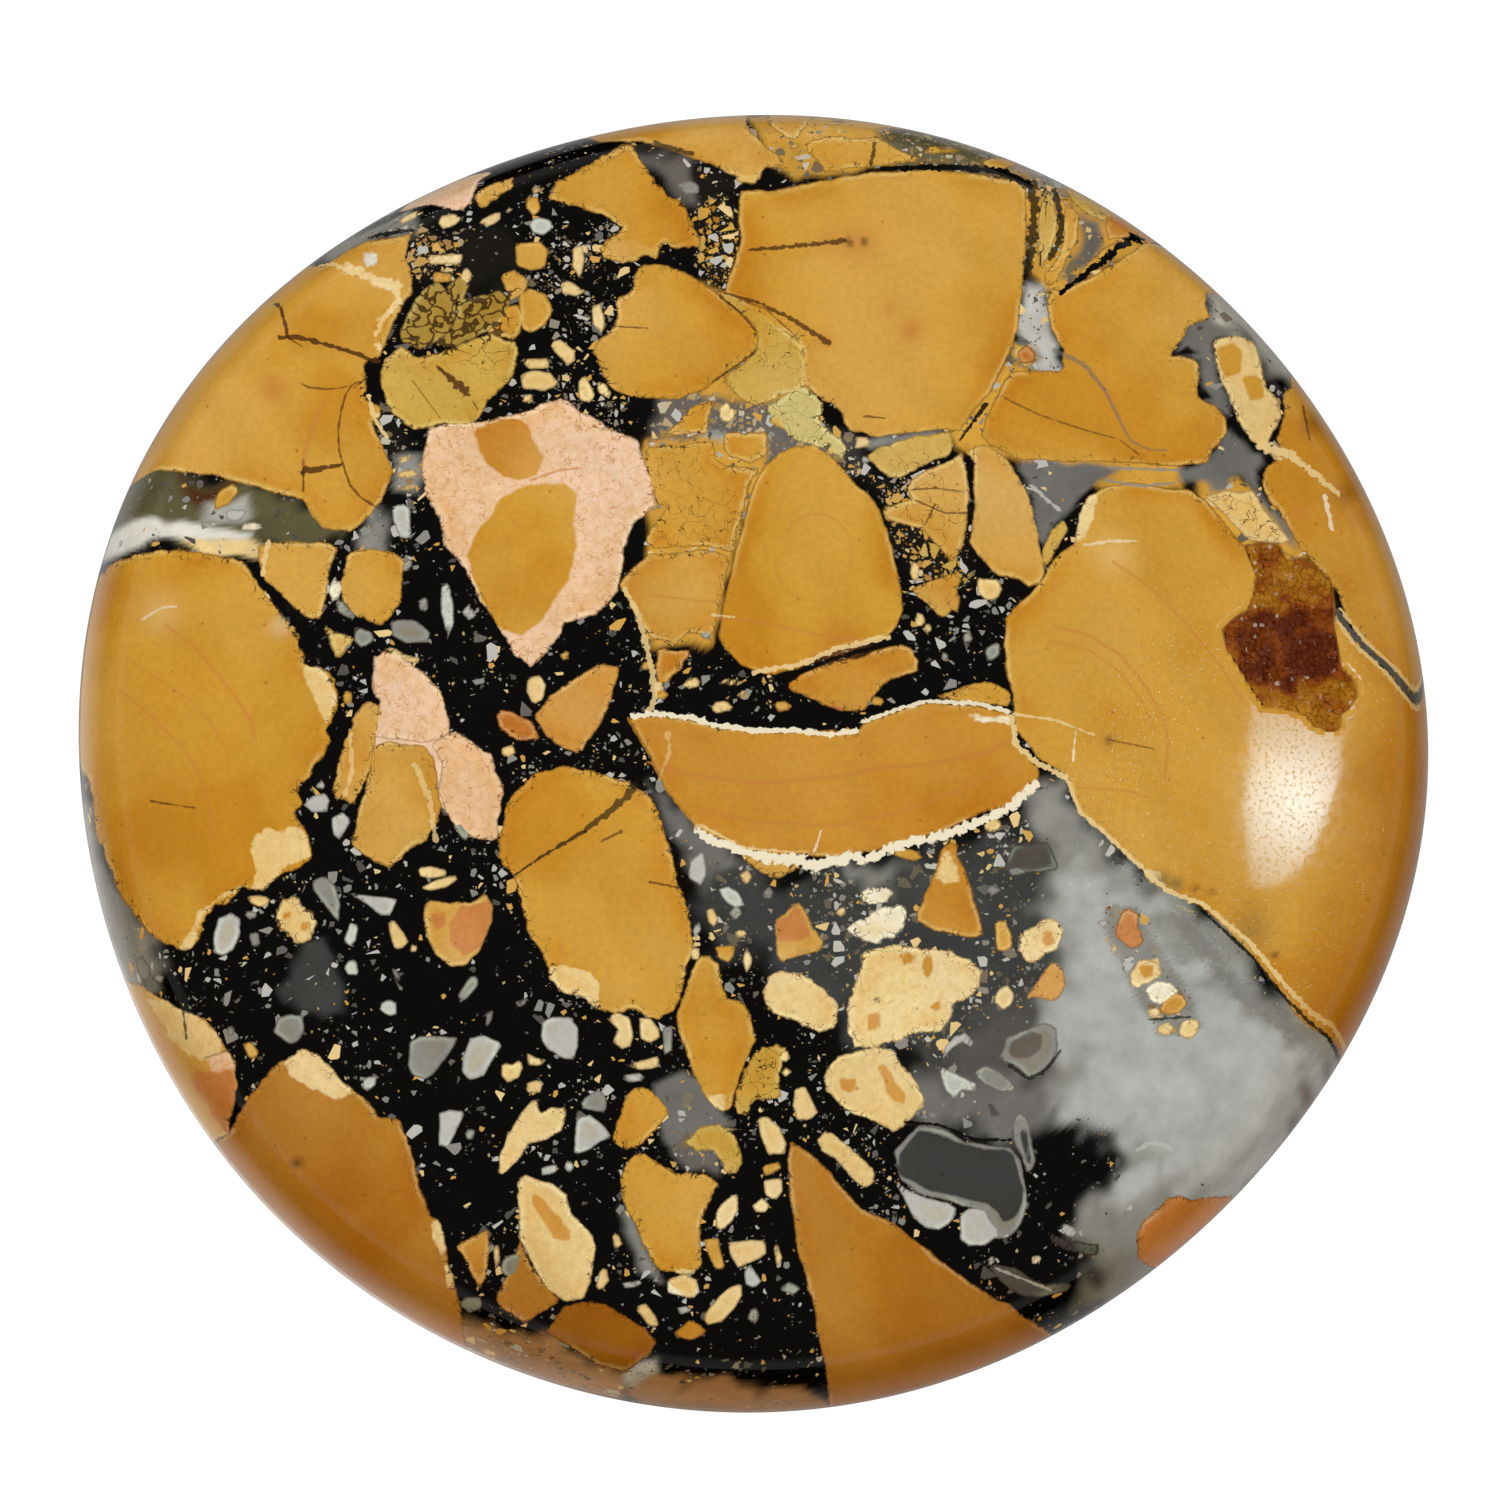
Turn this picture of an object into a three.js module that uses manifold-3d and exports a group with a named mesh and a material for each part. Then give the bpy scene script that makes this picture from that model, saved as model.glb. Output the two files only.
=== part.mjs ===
// A polished Maligano jasper cabochon: one low domed stone with a flat back, and the crust of small
// quartz crystals that lines the open hollow near its right edge.
// Millimetres, +Z up. The flat back lies on z = 0 and the outline is centred on the Z axis.
import * as THREE from "three";
import { mergeVertices } from "three/addons/utils/BufferGeometryUtils.js";
import Module from "manifold-3d";

const wasm = await Module();
wasm.setup();

// Size of the stone
const MEAN_RADIUS = 19.63;
const THICKNESS = 7.0;

// The hand-cut outline is a circle with gentle swellings. Each has a number of lobes, a swell in
// millimetres and the direction of one crest, in degrees from +X.
const OUTLINE_SWELLINGS = [
  { lobes: 1, swell: 0.17, crest: 110.0 },
  { lobes: 2, swell: 0.32, crest: 10.7 },
  { lobes: 3, swell: 0.165, crest: 24.6 },
  { lobes: 4, swell: 0.08, crest: -15.6 },
  { lobes: 5, swell: 0.07, crest: 1.4 },
];

// Section of the stone: a bevel at the back, a wall that leans inward, a rounded edge and the dome
const BACK_BEVEL = 0.45;
const WALL_LEAN = THREE.MathUtils.degToRad(14);
const EDGE_ROUND = 1.3;
const DOME_RADIUS = 52.0;

// How finely the round shapes are cut
const AROUND = 96;
const EDGE_STEPS = 5;
const DOME_STEPS = 11;

// The hollow's irregular rim, seen from above, and how far its floor lies below the dome
const HOLLOW_RIM = [
  [14.1, 5.5], [14.1, 5.9], [14.7, 6.1], [15.2, 6.1], [15.6, 5.75], [16.0, 5.65], [16.2, 5.15],
  [16.7, 4.9], [16.85, 4.1], [16.9, 3.3], [17.0, 2.7], [17.4, 2.4], [17.5, 1.8], [17.2, 1.25],
  [17.0, 0.7], [16.6, 0.5], [16.1, 0.6], [15.8, 1.0], [14.7, 1.1], [14.15, 1.5], [13.9, 2.1],
  [13.5, 3.4], [13.95, 3.8], [14.5, 4.6], [14.3, 5.1],
];
const HOLLOW_DEPTH = 1.15;

// The crystal crust stands clear of the hollow's walls and floor, on a thin bed
const CLEARANCE = 0.3;
const BED_DEPTH = 0.5;
const TIP_DEPTH = 0.04;
const CRYSTAL_SPACING = 0.52;
const CRYSTAL_RADIUS = 0.27;
const CRYSTAL_PRISM = 0.3;
const CRYSTAL_POINT = 0.36;
const CRYSTAL_SIZE_SPREAD = 0.45;
const CRYSTAL_LEAN = THREE.MathUtils.degToRad(26);

// Materials, as the stone looks in daylight
function jasper() {
  return new THREE.MeshStandardMaterial({ color: 0xc08a2e, roughness: 0.12, metalness: 0 });
}

function amberQuartz() {
  return new THREE.MeshStandardMaterial({ color: 0x7a3c0c, roughness: 0.25, metalness: 0 });
}

// A steady value between 0 and 1 for a number, so that the crystals vary but never change
function scatter(n) {
  const wave = Math.sin(n * 12.9898 + 4.1) * 43758.5453;
  return wave - Math.floor(wave);
}

// A closed three.js geometry as a solid that can be joined and cut
function solid(geometry) {
  const bare = geometry.index ? geometry.clone() : geometry;
  bare.deleteAttribute("normal");
  bare.deleteAttribute("uv");
  const merged = mergeVertices(bare, 1e-5);
  const corners = Array.from(merged.index.array);
  const kept = [];
  for (let i = 0; i < corners.length; i += 3) {
    const [a, b, c] = corners.slice(i, i + 3);
    if (a !== b && b !== c && c !== a) kept.push(a, b, c);
  }
  return new wasm.Manifold(new wasm.Mesh({
    numProp: 3,
    vertProperties: new Float32Array(merged.attributes.position.array),
    triVerts: new Uint32Array(kept),
  }));
}

// A solid as a three.js geometry again
function geometryOf(body) {
  const mesh = body.getMesh();
  const geometry = new THREE.BufferGeometry();
  geometry.setAttribute("position", new THREE.BufferAttribute(mesh.vertProperties, 3));
  geometry.setIndex(new THREE.BufferAttribute(mesh.triVerts, 1));
  geometry.computeVertexNormals();
  return geometry;
}

// A profile of radius and height, turned about the Z axis
function turned(profile, steps) {
  const geometry = new THREE.LatheGeometry(profile, steps);
  geometry.rotateX(Math.PI / 2);
  return geometry;
}

// Points of an arc about a centre, both ends included
function arc(centre, radius, from, to, steps) {
  const points = [];
  for (let i = 0; i <= steps; i += 1) {
    const angle = from + ((to - from) * i) / steps;
    points.push(new THREE.Vector2(Math.cos(angle), Math.sin(angle)).multiplyScalar(radius).add(centre));
  }
  return points;
}

// Half of the stone's section, from the middle of the back round to the top of the dome. The
// rounded edge touches both the leaning wall and the dome without a corner.
function stoneProfile() {
  const wallFoot = new THREE.Vector2(MEAN_RADIUS, BACK_BEVEL);
  const wallUp = new THREE.Vector2(-Math.sin(WALL_LEAN), Math.cos(WALL_LEAN));
  const wallOut = new THREE.Vector2(Math.cos(WALL_LEAN), Math.sin(WALL_LEAN));
  const domeCentre = new THREE.Vector2(0, THICKNESS - DOME_RADIUS);
  const start = wallFoot.clone().addScaledVector(wallOut, -EDGE_ROUND).sub(domeCentre);
  const reach = DOME_RADIUS - EDGE_ROUND;
  const along = start.dot(wallUp);
  const rise = Math.sqrt(along * along - start.lengthSq() + reach * reach) - along;
  const edgeCentre = start.addScaledVector(wallUp, rise).add(domeCentre);
  const meeting = edgeCentre.clone().sub(domeCentre).angle();
  return [
    new THREE.Vector2(0, 0),
    new THREE.Vector2(MEAN_RADIUS - BACK_BEVEL, 0),
    wallFoot,
    ...arc(edgeCentre, EDGE_ROUND, WALL_LEAN, meeting, EDGE_STEPS),
    ...arc(domeCentre, DOME_RADIUS, meeting, Math.PI / 2, DOME_STEPS).slice(1, -1),
    new THREE.Vector2(0, THICKNESS),
  ];
}

// How much wider than the mean circle the outline is in one direction
function outlineScale(direction) {
  const swells = OUTLINE_SWELLINGS.map(({ lobes, swell, crest }) => {
    return swell * Math.cos(lobes * (direction - THREE.MathUtils.degToRad(crest)));
  });
  return 1 + swells.reduce((sum, swell) => sum + swell, 0) / MEAN_RADIUS;
}

// The whole stone before the hollow is cut, centred on the Z axis
function stoneBlank() {
  const geometry = turned(stoneProfile(), AROUND);
  const places = geometry.attributes.position;
  for (let i = 0; i < places.count; i += 1) {
    const x = places.getX(i);
    const y = places.getY(i);
    const scale = outlineScale(Math.atan2(y, x));
    places.setXY(i, x * scale, y * scale);
  }
  geometry.computeBoundingBox();
  const middle = geometry.boundingBox.getCenter(new THREE.Vector3());
  geometry.translate(-middle.x, -middle.y, 0);
  return solid(geometry);
}

// A rounded solid that fills everything down from the dome lowered by a depth
function underDome(depth) {
  const top = THICKNESS - depth;
  const centre = new THREE.Vector2(0, top - DOME_RADIUS);
  const rim = Math.acos(MEAN_RADIUS / DOME_RADIUS);
  const crown = arc(centre, DOME_RADIUS, rim, Math.PI / 2, DOME_STEPS).slice(0, -1);
  const profile = [new THREE.Vector2(0, 0), new THREE.Vector2(MEAN_RADIUS, 0), ...crown];
  return solid(turned([...profile, new THREE.Vector2(0, top)], AROUND));
}

// The hollow's rim moved inward by a distance, as an upright column
function hollowColumn(inset) {
  const rim = HOLLOW_RIM.map(([x, y]) => new THREE.Vector2(x, y));
  const turn = THREE.ShapeUtils.isClockWise(rim) ? 1 : -1;
  const moved = rim.map((point, i) => {
    const before = rim[(i + rim.length - 1) % rim.length];
    const after = rim[(i + 1) % rim.length];
    const way = after.clone().sub(before).normalize();
    return new THREE.Vector2(point.x + turn * way.y * inset, point.y - turn * way.x * inset);
  });
  const options = { depth: THICKNESS, bevelEnabled: false };
  return solid(new THREE.ExtrudeGeometry(new THREE.Shape(moved), options));
}

// One quartz crystal: a short six-sided prism with a six-sided point, foot at the origin
function crystal(size) {
  const radius = CRYSTAL_RADIUS * size;
  const shoulder = CRYSTAL_PRISM * size;
  const tip = shoulder + CRYSTAL_POINT * size;
  return turned([
    new THREE.Vector2(0, 0),
    new THREE.Vector2(radius, 0),
    new THREE.Vector2(radius, shoulder),
    new THREE.Vector2(0, tip),
  ], 6);
}

// Crystals over the hollow's whole floor, in staggered rows, each leaning its own way
function crystalField() {
  const xs = HOLLOW_RIM.map(([x]) => x);
  const ys = HOLLOW_RIM.map(([, y]) => y);
  const rowStep = CRYSTAL_SPACING * Math.sin(Math.PI / 3);
  const crystals = [];
  let row = 0;
  for (let y = Math.min(...ys); y <= Math.max(...ys); y += rowStep) {
    const stagger = (row % 2) * CRYSTAL_SPACING * 0.5;
    for (let x = Math.min(...xs) + stagger; x <= Math.max(...xs); x += CRYSTAL_SPACING) {
      const seed = crystals.length;
      const geometry = crystal(1 + CRYSTAL_SIZE_SPREAD * (scatter(seed) - 0.5));
      const leanWay = scatter(seed + 0.3) * 2 * Math.PI;
      geometry.rotateZ(scatter(seed + 0.6) * Math.PI);
      geometry.rotateX(CRYSTAL_LEAN * Math.cos(leanWay));
      geometry.rotateY(CRYSTAL_LEAN * Math.sin(leanWay));
      const bed = DOME_RADIUS - Math.sqrt(DOME_RADIUS ** 2 - x ** 2 - y ** 2);
      geometry.translate(x, y, THICKNESS - bed - BED_DEPTH - CRYSTAL_RADIUS);
      crystals.push(solid(geometry));
    }
    row += 1;
  }
  return crystals;
}

function stone() {
  const hollow = hollowColumn(0).subtract(underDome(HOLLOW_DEPTH));
  const mesh = new THREE.Mesh(geometryOf(stoneBlank().subtract(hollow)), jasper());
  mesh.name = "stone";
  return mesh;
}

function druseCrust() {
  const bed = hollowColumn(CLEARANCE).intersect(underDome(BED_DEPTH));
  const grown = crystalField().reduce((sum, one) => sum.add(one), bed);
  const room = hollowColumn(CLEARANCE)
    .intersect(underDome(TIP_DEPTH))
    .subtract(underDome(HOLLOW_DEPTH - CLEARANCE));
  const mesh = new THREE.Mesh(geometryOf(grown.intersect(room)), amberQuartz());
  mesh.name = "druse_crust";
  return mesh;
}

const cabochon = new THREE.Group();
cabochon.add(stone(), druseCrust());

export default cabochon;
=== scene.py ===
# %% [markdown]
# # A polished jasper cabochon
# A cabochon is a stone ground to a smooth dome and polished, with a flat back. This one is a
# breccia: angular pieces of ochre jasper, broken long ago and cemented by black and grey silica.
# An open hollow near the right edge is lined with tiny amber quartz crystals.
# The lesson builds the fine surface over a plain solid of the same size. All lengths are metres
# in the mesh, but the reasoning is done in millimetres, and the markings in photo pixels.

# %% Load the frame
import math

import bmesh
import bpy
import numpy as np
from mathutils import Euler, Matrix, Vector


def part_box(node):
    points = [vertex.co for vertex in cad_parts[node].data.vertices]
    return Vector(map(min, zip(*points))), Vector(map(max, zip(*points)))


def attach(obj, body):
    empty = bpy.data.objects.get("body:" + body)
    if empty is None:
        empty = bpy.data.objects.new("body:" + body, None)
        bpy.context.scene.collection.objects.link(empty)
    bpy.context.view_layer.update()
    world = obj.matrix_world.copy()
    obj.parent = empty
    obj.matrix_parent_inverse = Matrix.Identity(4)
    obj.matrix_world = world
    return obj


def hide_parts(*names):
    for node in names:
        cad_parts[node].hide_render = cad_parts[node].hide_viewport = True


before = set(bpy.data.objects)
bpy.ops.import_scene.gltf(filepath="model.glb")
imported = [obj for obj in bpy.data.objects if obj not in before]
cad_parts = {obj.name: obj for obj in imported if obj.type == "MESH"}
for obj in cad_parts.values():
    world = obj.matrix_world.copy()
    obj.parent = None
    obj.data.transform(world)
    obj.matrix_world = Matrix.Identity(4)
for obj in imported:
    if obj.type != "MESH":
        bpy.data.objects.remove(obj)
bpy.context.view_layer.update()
MM = 0.001

# %% [markdown]
# ## Where the camera stands
# The camera looks down on the stone from far away, so that there is almost no perspective. It
# leans a little to the lower left, because the side wall shows there. The same numbers place
# each marking: a point of the stone is projected to the photo, and the outlines are compared
# with it there.

# %% The camera's direction and scale
PHOTO_SIZE = 1500
PIXELS_PER_MM = 33.9
STONE_CENTRE_PX = (755.1, 760.9)
AZIMUTH = math.radians(-25.0)
ELEVATION = math.radians(80.0)
CAMERA_DISTANCE_MM = 600.0
AIM_HEIGHT_MM = 0.45

camera_back = np.array([
    math.sin(AZIMUTH) * math.cos(ELEVATION),
    -math.cos(AZIMUTH) * math.cos(ELEVATION),
    math.sin(ELEVATION),
])
camera_up = np.array([0.0, 1.0, 0.0]) - camera_back[1] * camera_back
camera_up /= np.linalg.norm(camera_up)
camera_right = np.cross(camera_up, camera_back)
off_centre = (np.array(STONE_CENTRE_PX) - PHOTO_SIZE / 2) / PIXELS_PER_MM
aim_shift = off_centre[1] * camera_up - off_centre[0] * camera_right
camera_aim = np.array([0.0, 0.0, AIM_HEIGHT_MM]) + aim_shift


def photo_pixels(places):
    """Where points of the stone, in millimetres, fall in the photo."""
    arms = places - camera_aim
    scale = PIXELS_PER_MM * CAMERA_DISTANCE_MM / (CAMERA_DISTANCE_MM - arms @ camera_back)
    across = PHOTO_SIZE / 2 + scale * (arms @ camera_right)
    down = PHOTO_SIZE / 2 - scale * (arms @ camera_up)
    return np.stack([across, down], axis=1)


print("the stone's middle falls at", photo_pixels(np.array([[0.0, 0.0, AIM_HEIGHT_MM]]))[0])

# %% [markdown]
# ## The stone's own colours
# A breccia has a small family of colours that return all over it. Each gets a plain name here,
# as a paint box, and every marking below picks one of them by name.

# %% The paint box
TONES = {
    "ochre": (206, 153, 58),
    "deep": (203, 149, 50),
    "light": (210, 162, 78),
    "amber": (200, 141, 50),
    "shade": (172, 117, 34),
    "mustard": (204, 164, 74),
    "cream": (232, 202, 140),
    "custard": (238, 210, 148),
    "milk": (240, 228, 198),
    "straw": (200, 180, 104),
    "honey": (208, 151, 70),
    "clay": (201, 132, 70),
    "toasted": (182, 124, 42),
    "baked": (156, 99, 20),
    "pink": (236, 198, 162),
    "rust": (196, 124, 56),
    "fawn": (176, 134, 92),
    "slate": (62, 62, 60),
    "smoke": (84, 81, 76),
    "flint": (112, 109, 104),
    "grey": (140, 138, 130),
    "pale": (188, 186, 178),
    "quartz": (172, 171, 160),
    "cloud": (176, 176, 172),
    "frost": (224, 221, 209),
    "taupe": (104, 98, 92),
    "moss": (168, 136, 58),
    "olive": (92, 86, 58),
    "char": (100, 68, 46),
    "umber": (78, 42, 18),
    "soot": (26, 23, 18),
    "black": (7, 6, 4),
}


def linear(tone):
    """A named tone as light, which is what Blender mixes."""
    shares = np.array(TONES[tone]) / 255
    return np.where(shares <= 0.04045, shares / 12.92, ((shares + 0.055) / 1.055) ** 2.4)


print(len(TONES), "tones")

# %% [markdown]
# ## The broken pieces of jasper
# The markings are colour inside one solid stone, so none of them is a mesh of its own. Each piece of
# jasper is drawn once, with its tone and how ragged its edge is. Its outline begins at one corner, in
# photo pixels, and goes on in steps from corner to corner, to the right and down. Later every vertex
# learns how deep it lies inside the nearest outline, and the material turns that depth into an edge.

# %% Outlines of the large pieces
LARGE_PIECES = [
    ("great left", "deep", 0.5,
     "100,580 18,-19 12,-6 30,-5 40,2 30,4 15,7 17,27 35,40 9,26 -3,8 17,4 15,12 3,15 0,15 -13,20 "
     "5,10 -8,17 -8,9 -3,10 -10,7 -3,11 5,10 -9,10 14,21 5,15 -2,11 -13,8 -14,3 -22,20 -12,-2 -6,-4 "
     "-19,16 -11,3 -7,11 -11,29 -8,8 -12,-3 -28,-16 -27,-37 -25,-62 -8,-55 -28,-40 -10,-100"),
    ("upper left", "ochre", 0.3,
     "320,262 25,-14 17,-6 49,-8 -6,24 6,9 2,27 -8,7 -9,17 -16,39 -16,6 3,25 -1,11 14,9 -1,11 -7,2 "
     "21,51 -11,28 -22,26 -9,6 -27,-4 -13,-12 -8,-16 -90,-25 -63,-5 -60,12 30,-82 30,-110 80,-50 "
     "70,-15"),
    ("pale cap", "pink", 0.3, "400,196 62,16 7,-9 10,-25 21,-18 -30,-20 -50,20"),
    ("cap neighbour", "ochre", 0.5, "476,192 16,-9 20,-5 1,9 -13,7 -14,13 -9,-1"),
    ("crackled", "mustard", 0.4,
     "400,346 -16,14 -4,12 2,16 12,26 18,16 28,-6 20,1 18,-5 10,-18 22,-20 8,-32 -4,-8 -24,-8 -60,22 "
     "-15,-1"),
    ("crackled net", "moss", 0.3, "402,342 -2,-12 16,-32 9,-11 13,-5 18,18 -1,18 -7,14 -13,10 -15,8"),
    ("crackled green", "moss", 0.4, "448,332 8,-14 2,-18 42,-10 12,10 -7,18 -15,12 -40,18 -14,-4"),
    ("crackled top", "moss", 0.3, "446,290 6,-10 10,-4 7,8 -6,16 -8,3"),
    ("crackled right", "ochre", 0.3, "497,318 9,-12 12,-2 6,14 -4,14 -6,8 -28,-6"),
    ("crackled far right", "ochre", 0.3, "517,292 13,-4 16,8 6,14 -6,15 -14,8 -11,-6"),
    ("crackled crown", "ochre", 0.3, "500,276 14,-7 13,9 -5,14 -16,-2"),
    ("rose", "pink", 0.5,
     "428,429 18,-6 24,1 50,-11 28,-12 12,-3 40,24 37,19 15,40 3,15 0,12 -9,7 -12,5 -10,31 -7,39 "
     "-6,14 -13,8 -33,13 -20,30 -13,13 -17,-13 -33,-52 -27,-48 -12,-10 0,-12 -3,-14 -16,-29 -3,-16"),
    ("top left", "ochre", 0.5,
     "547,199 10,-16 65,-38 10,1 28,40 12,12 10,3 17,39 0,7 -27,3 -7,-7 -4,4 -4,11 -11,-4 -10,7 "
     "-18,1 -14,-4 -5,-10 23,-21 -22,-13"),
    ("top arc", "light", 0.3,
     "600,140 0,-50 150,0 -3,32 5,10 13,13 17,13 2,8 -20,2 -4,12 -15,0 -45,-20 -40,-13 -20,-5"),
    ("top pebble", "light", 0.4, "767,121 -5,-31 53,0 -9,38 -9,12 -12,-2"),
    ("top strip", "ochre", 0.4, "808,141 17,-5 25,2 24,-1 52,23 -101,12 -7,-12 -12,-11"),
    ("top end", "ochre", 0.4, "930,146 18,1 14,5 -22,2 -15,-2"),
    ("heart", "ochre", 0.4,
     "640,264 22,1 28,10 22,14 36,29 9,11 1,16 -8,12 -45,31 -27,12 -38,-2 -18,-4 -11,-6 -7,-10 "
     "-6,-18 -6,-8 8,-12 8,-6 7,-9 2,-12 -1,-12 14,-9 4,-9 -1,-9"),
    ("big top", "ochre", 0.25,
     "740,191 35,-1 75,-15 25,-3 55,-3 30,2 58,10 9,9 -2,75 -7,65 -8,25 -20,38 -20,22 -10,15 -40,1 "
     "-47,7 -11,-5 -12,-1 -5,-8 -3,-12 -10,-9 -10,-3 -19,-17 -2,-18 2,-13 -8,-14 -17,-8 -54,-38 "
     "17,-52 -3,-25"),
    ("crushed yellow", "straw", 0.6,
     "768,404 35,-18 12,8 7,10 -4,14 8,12 12,6 10,12 -6,10 -14,-8 -33,-12 -13,-10 -10,-12"),
    ("small triangle", "ochre", 0.5, "660,438 32,-30 24,-8 -6,18 -2,15"),
    ("cream pebble", "cream", 0.3, "717,408 10,-6 10,10 -6,11 -11,-3"),
    ("small square", "ochre", 0.4, "726,433 41,-2 -1,24 -16,8 -22,-6 -6,-11"),
    ("mid left", "ochre", 0.5,
     "643,447 69,-5 4,16 14,8 28,4 -8,14 -17,69 -21,-6 -12,-1 -45,3 -7,-8 2,-13 9,-9 7,-11 -10,-6 "
     "-11,-37"),
    ("egg", "deep", 0.25,
     "778,453 12,-6 25,-2 15,10 28,30 12,10 10,15 13,40 8,40 2,21 -6,14 -9,13 -48,10 -24,10 -16,10 "
     "-25,7 -20,-3 -15,-7 -15,-15 -7,-13 4,-27 12,-54 20,-72 11,-18"),
    ("left of egg", "light", 0.4,
     "620,584 8,-12 22,-18 50,-4 20,2 11,8 -19,76 -24,-2 -16,16 -8,-10 -14,-2 -20,-32"),
    ("under left of egg", "amber", 0.5, "657,645 15,5 18,0 -8,16 -24,24 -2,-20"),
    ("right shard", "mustard", 0.3, "866,456 16,-10 18,-6 51,-10 2,18 -5,9 -18,6 -30,15 -11,-1"),
    ("shards", "light", 0.3,
     "912,479 13,-9 23,-9 14,-8 5,17 2,30 -2,30 -5,18 -11,14 -7,-10 -22,-23 -36,-9 -5,-12 33,-9 "
     "-6,-9"),
    ("shard foot", "light", 0.5, "911,589 42,-17 9,8 -4,16 -8,16 -9,5"),
    ("right wedge", "light", 0.3,
     "972,446 14,-1 15,8 10,12 17,30 6,15 11,62 -3,9 -12,7 -11,-7 -19,-6 -15,-11 -15,-21 5,-43"),
    ("strip", "mustard", 0.3, "1041,190 12,5 5,19 0,19 -7,20 -9,15 -4,-18 0,-30"),
    ("strip beside", "ochre", 0.3, "1064,200 15,14 -1,24 -22,45 -10,5 -1,-13 11,-15 7,-20"),
    ("green edge", "mustard", 0.5, "1060,180 40,10 30,15 -25,16 -20,-7 -15,-14"),
    ("black bar's upper side", "ochre", 0.2, "1104,247 14,-7 5,6 -47,38 -7,-1"),
    ("orange edge", "amber", 0.3, "1106,222 24,-22 35,25 -15,15 -12,-4 -30,4"),
    ("upper right", "ochre", 0.35,
     "1046,301 4,-13 14,2 54,-29 24,-17 33,-14 65,50 -33,14 -1,9 5,15 -24,8 -2,11 -14,18 14,0 12,5 "
     "2,15 -2,16 6,9 13,6 10,14 1,12 -15,20 -4,11 -28,3 -160,-7 -30,-13 -10,-10 5,-16 18,-36 9,-12 "
     "50,-2 0,-20 -10,-20"),
    ("cream edge", "cream", 0.4,
     "1214,341 17,-7 24,7 13,47 12,12 2,15 -14,29 7,8 15,6 -8,8 -31,-25 -11,-15 -25,-66"),
    ("right edge", "ochre", 0.4,
     "1284,396 16,-26 100,30 60,160 10,160 -42,-4 -33,-36 -47,-58 -11,-32 -25,-30 -13,-12 -8,-18 "
     "-11,-18 -12,-12 -6,-18 4,-16 16,-10 -6,-18 8,-18"),
    ("great right", "ochre", 0.3,
     "1073,544 8,-34 6,-12 15,-10 28,-6 60,8 16,11 15,15 21,29 33,0 25,15 36,52 74,88 60,35 -10,95 "
     "-30,120 -30,90 -58,1 -24,-7 -21,-18 -35,-48 -40,-43 -22,-19 -25,-13 -15,-3 -10,-8 -9,-14 "
     "-62,-55 -14,-38 -27,-17 -24,-31 -1,-27 -7,-32 -2,-28 2,-22 34,-35 20,-31"),
    ("grey lens tip", "mustard", 0.3, "1043,566 -1,-16 10,-20 12,-12 4,12 -19,32"),
    ("cream shard", "cream", 0.3, "1206,496 20,-6 14,2 12,-3 10,18 28,33 -8,5 -32,-4"),
    ("left triangle", "ochre", 0.4, "258,545 42,-4 31,2 7,5 -6,12 -5,20 -5,40 -17,-2 -42,-40 -5,-13"),
    ("left triangle tip", "mustard", 0.4, "322,624 23,11 8,3 -8,12 -8,11 -5,-11 -4,-12"),
    ("left square", "ochre", 0.4,
     "347,556 6,-6 22,0 20,3 11,7 -5,40 -13,20 -8,7 -30,-16 -8,-11 -1,-20"),
    ("blush top", "pink", 0.4, "374,656 11,-6 15,5 30,23 10,12 11,41 -11,7 -15,5 -53,-5 8,-36 -9,-10"),
    ("blush left", "light", 0.5, "369,700 10,6 2,15 -9,41 -19,44 -8,-6 -11,0 -2,-14 13,-46 10,-25"),
    ("blush core", "light", 0.4,
     "370,747 18,-6 37,5 10,14 3,30 4,15 -4,15 -13,20 -10,5 -25,22 -15,-5 -17,-10 -6,-7 9,-45 10,-30"),
    ("blush right", "pink", 0.5,
     "432,744 23,-14 35,25 12,30 1,11 -5,24 2,18 -20,2 -19,-5 -15,-20 -8,-25 3,-24"),
    ("leaf", "honey", 0.4, "533,716 12,-16 53,-37 21,4 -8,32 -13,28 -19,27 -19,-8 -16,-14"),
    ("leaf tip", "rust", 0.4, "497,709 14,3 22,10 7,16 -20,3 -20,-11"),
    ("ovoid", "ochre", 0.5,
     "509,797 22,-22 32,-9 32,6 28,9 23,10 13,22 31,107 3,25 -13,55 -6,12 -14,6 -14,-1 -12,-9 -14,6 "
     "-14,-2 -16,-7 -14,-10 -16,-4 -11,-11 1,-12 -10,-18 -12,-15 -13,-55 -16,-22 0,-19"),
    ("boat", "amber", 0.3,
     "628,718 31,-3 28,3 29,9 38,5 39,0 41,-3 22,5 10,-13 60,-19 54,4 30,7 4,27 24,25 0,17 -28,24 "
     "-30,7 -38,20 -70,19 -41,6 -32,-3 -38,0 -58,-22 -16,-16 -22,-26 -16,-35"),
    ("upper boat", "amber", 0.4,
     "785,684 31,-16 19,-7 25,-5 40,-13 11,5 8,12 -1,11 -28,9 -10,6 -15,26 -17,0 -18,-5 -40,-16"),
    ("white upper", "milk", 0.5, "858,895 12,-7 15,-1 8,6 -8,9 -17,3"),
    ("white patch", "milk", 0.5, "850,925 15,-7 15,-10 20,-3 8,5 -3,15 -10,12 -20,6 -17,-5 -11,-8"),
    ("orange triangle", "light", 0.3, "797,902 7,6 8,17 14,20 -11,8 -15,2 -18,8 -5,-8 -2,-34"),
    ("cream left", "cream", 0.4,
     "763,990 7,-15 15,-5 20,5 20,15 13,15 -2,20 -16,8 -15,-5 -10,-8 -20,-5 -10,-12"),
    ("cream big", "custard", 0.5,
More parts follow.
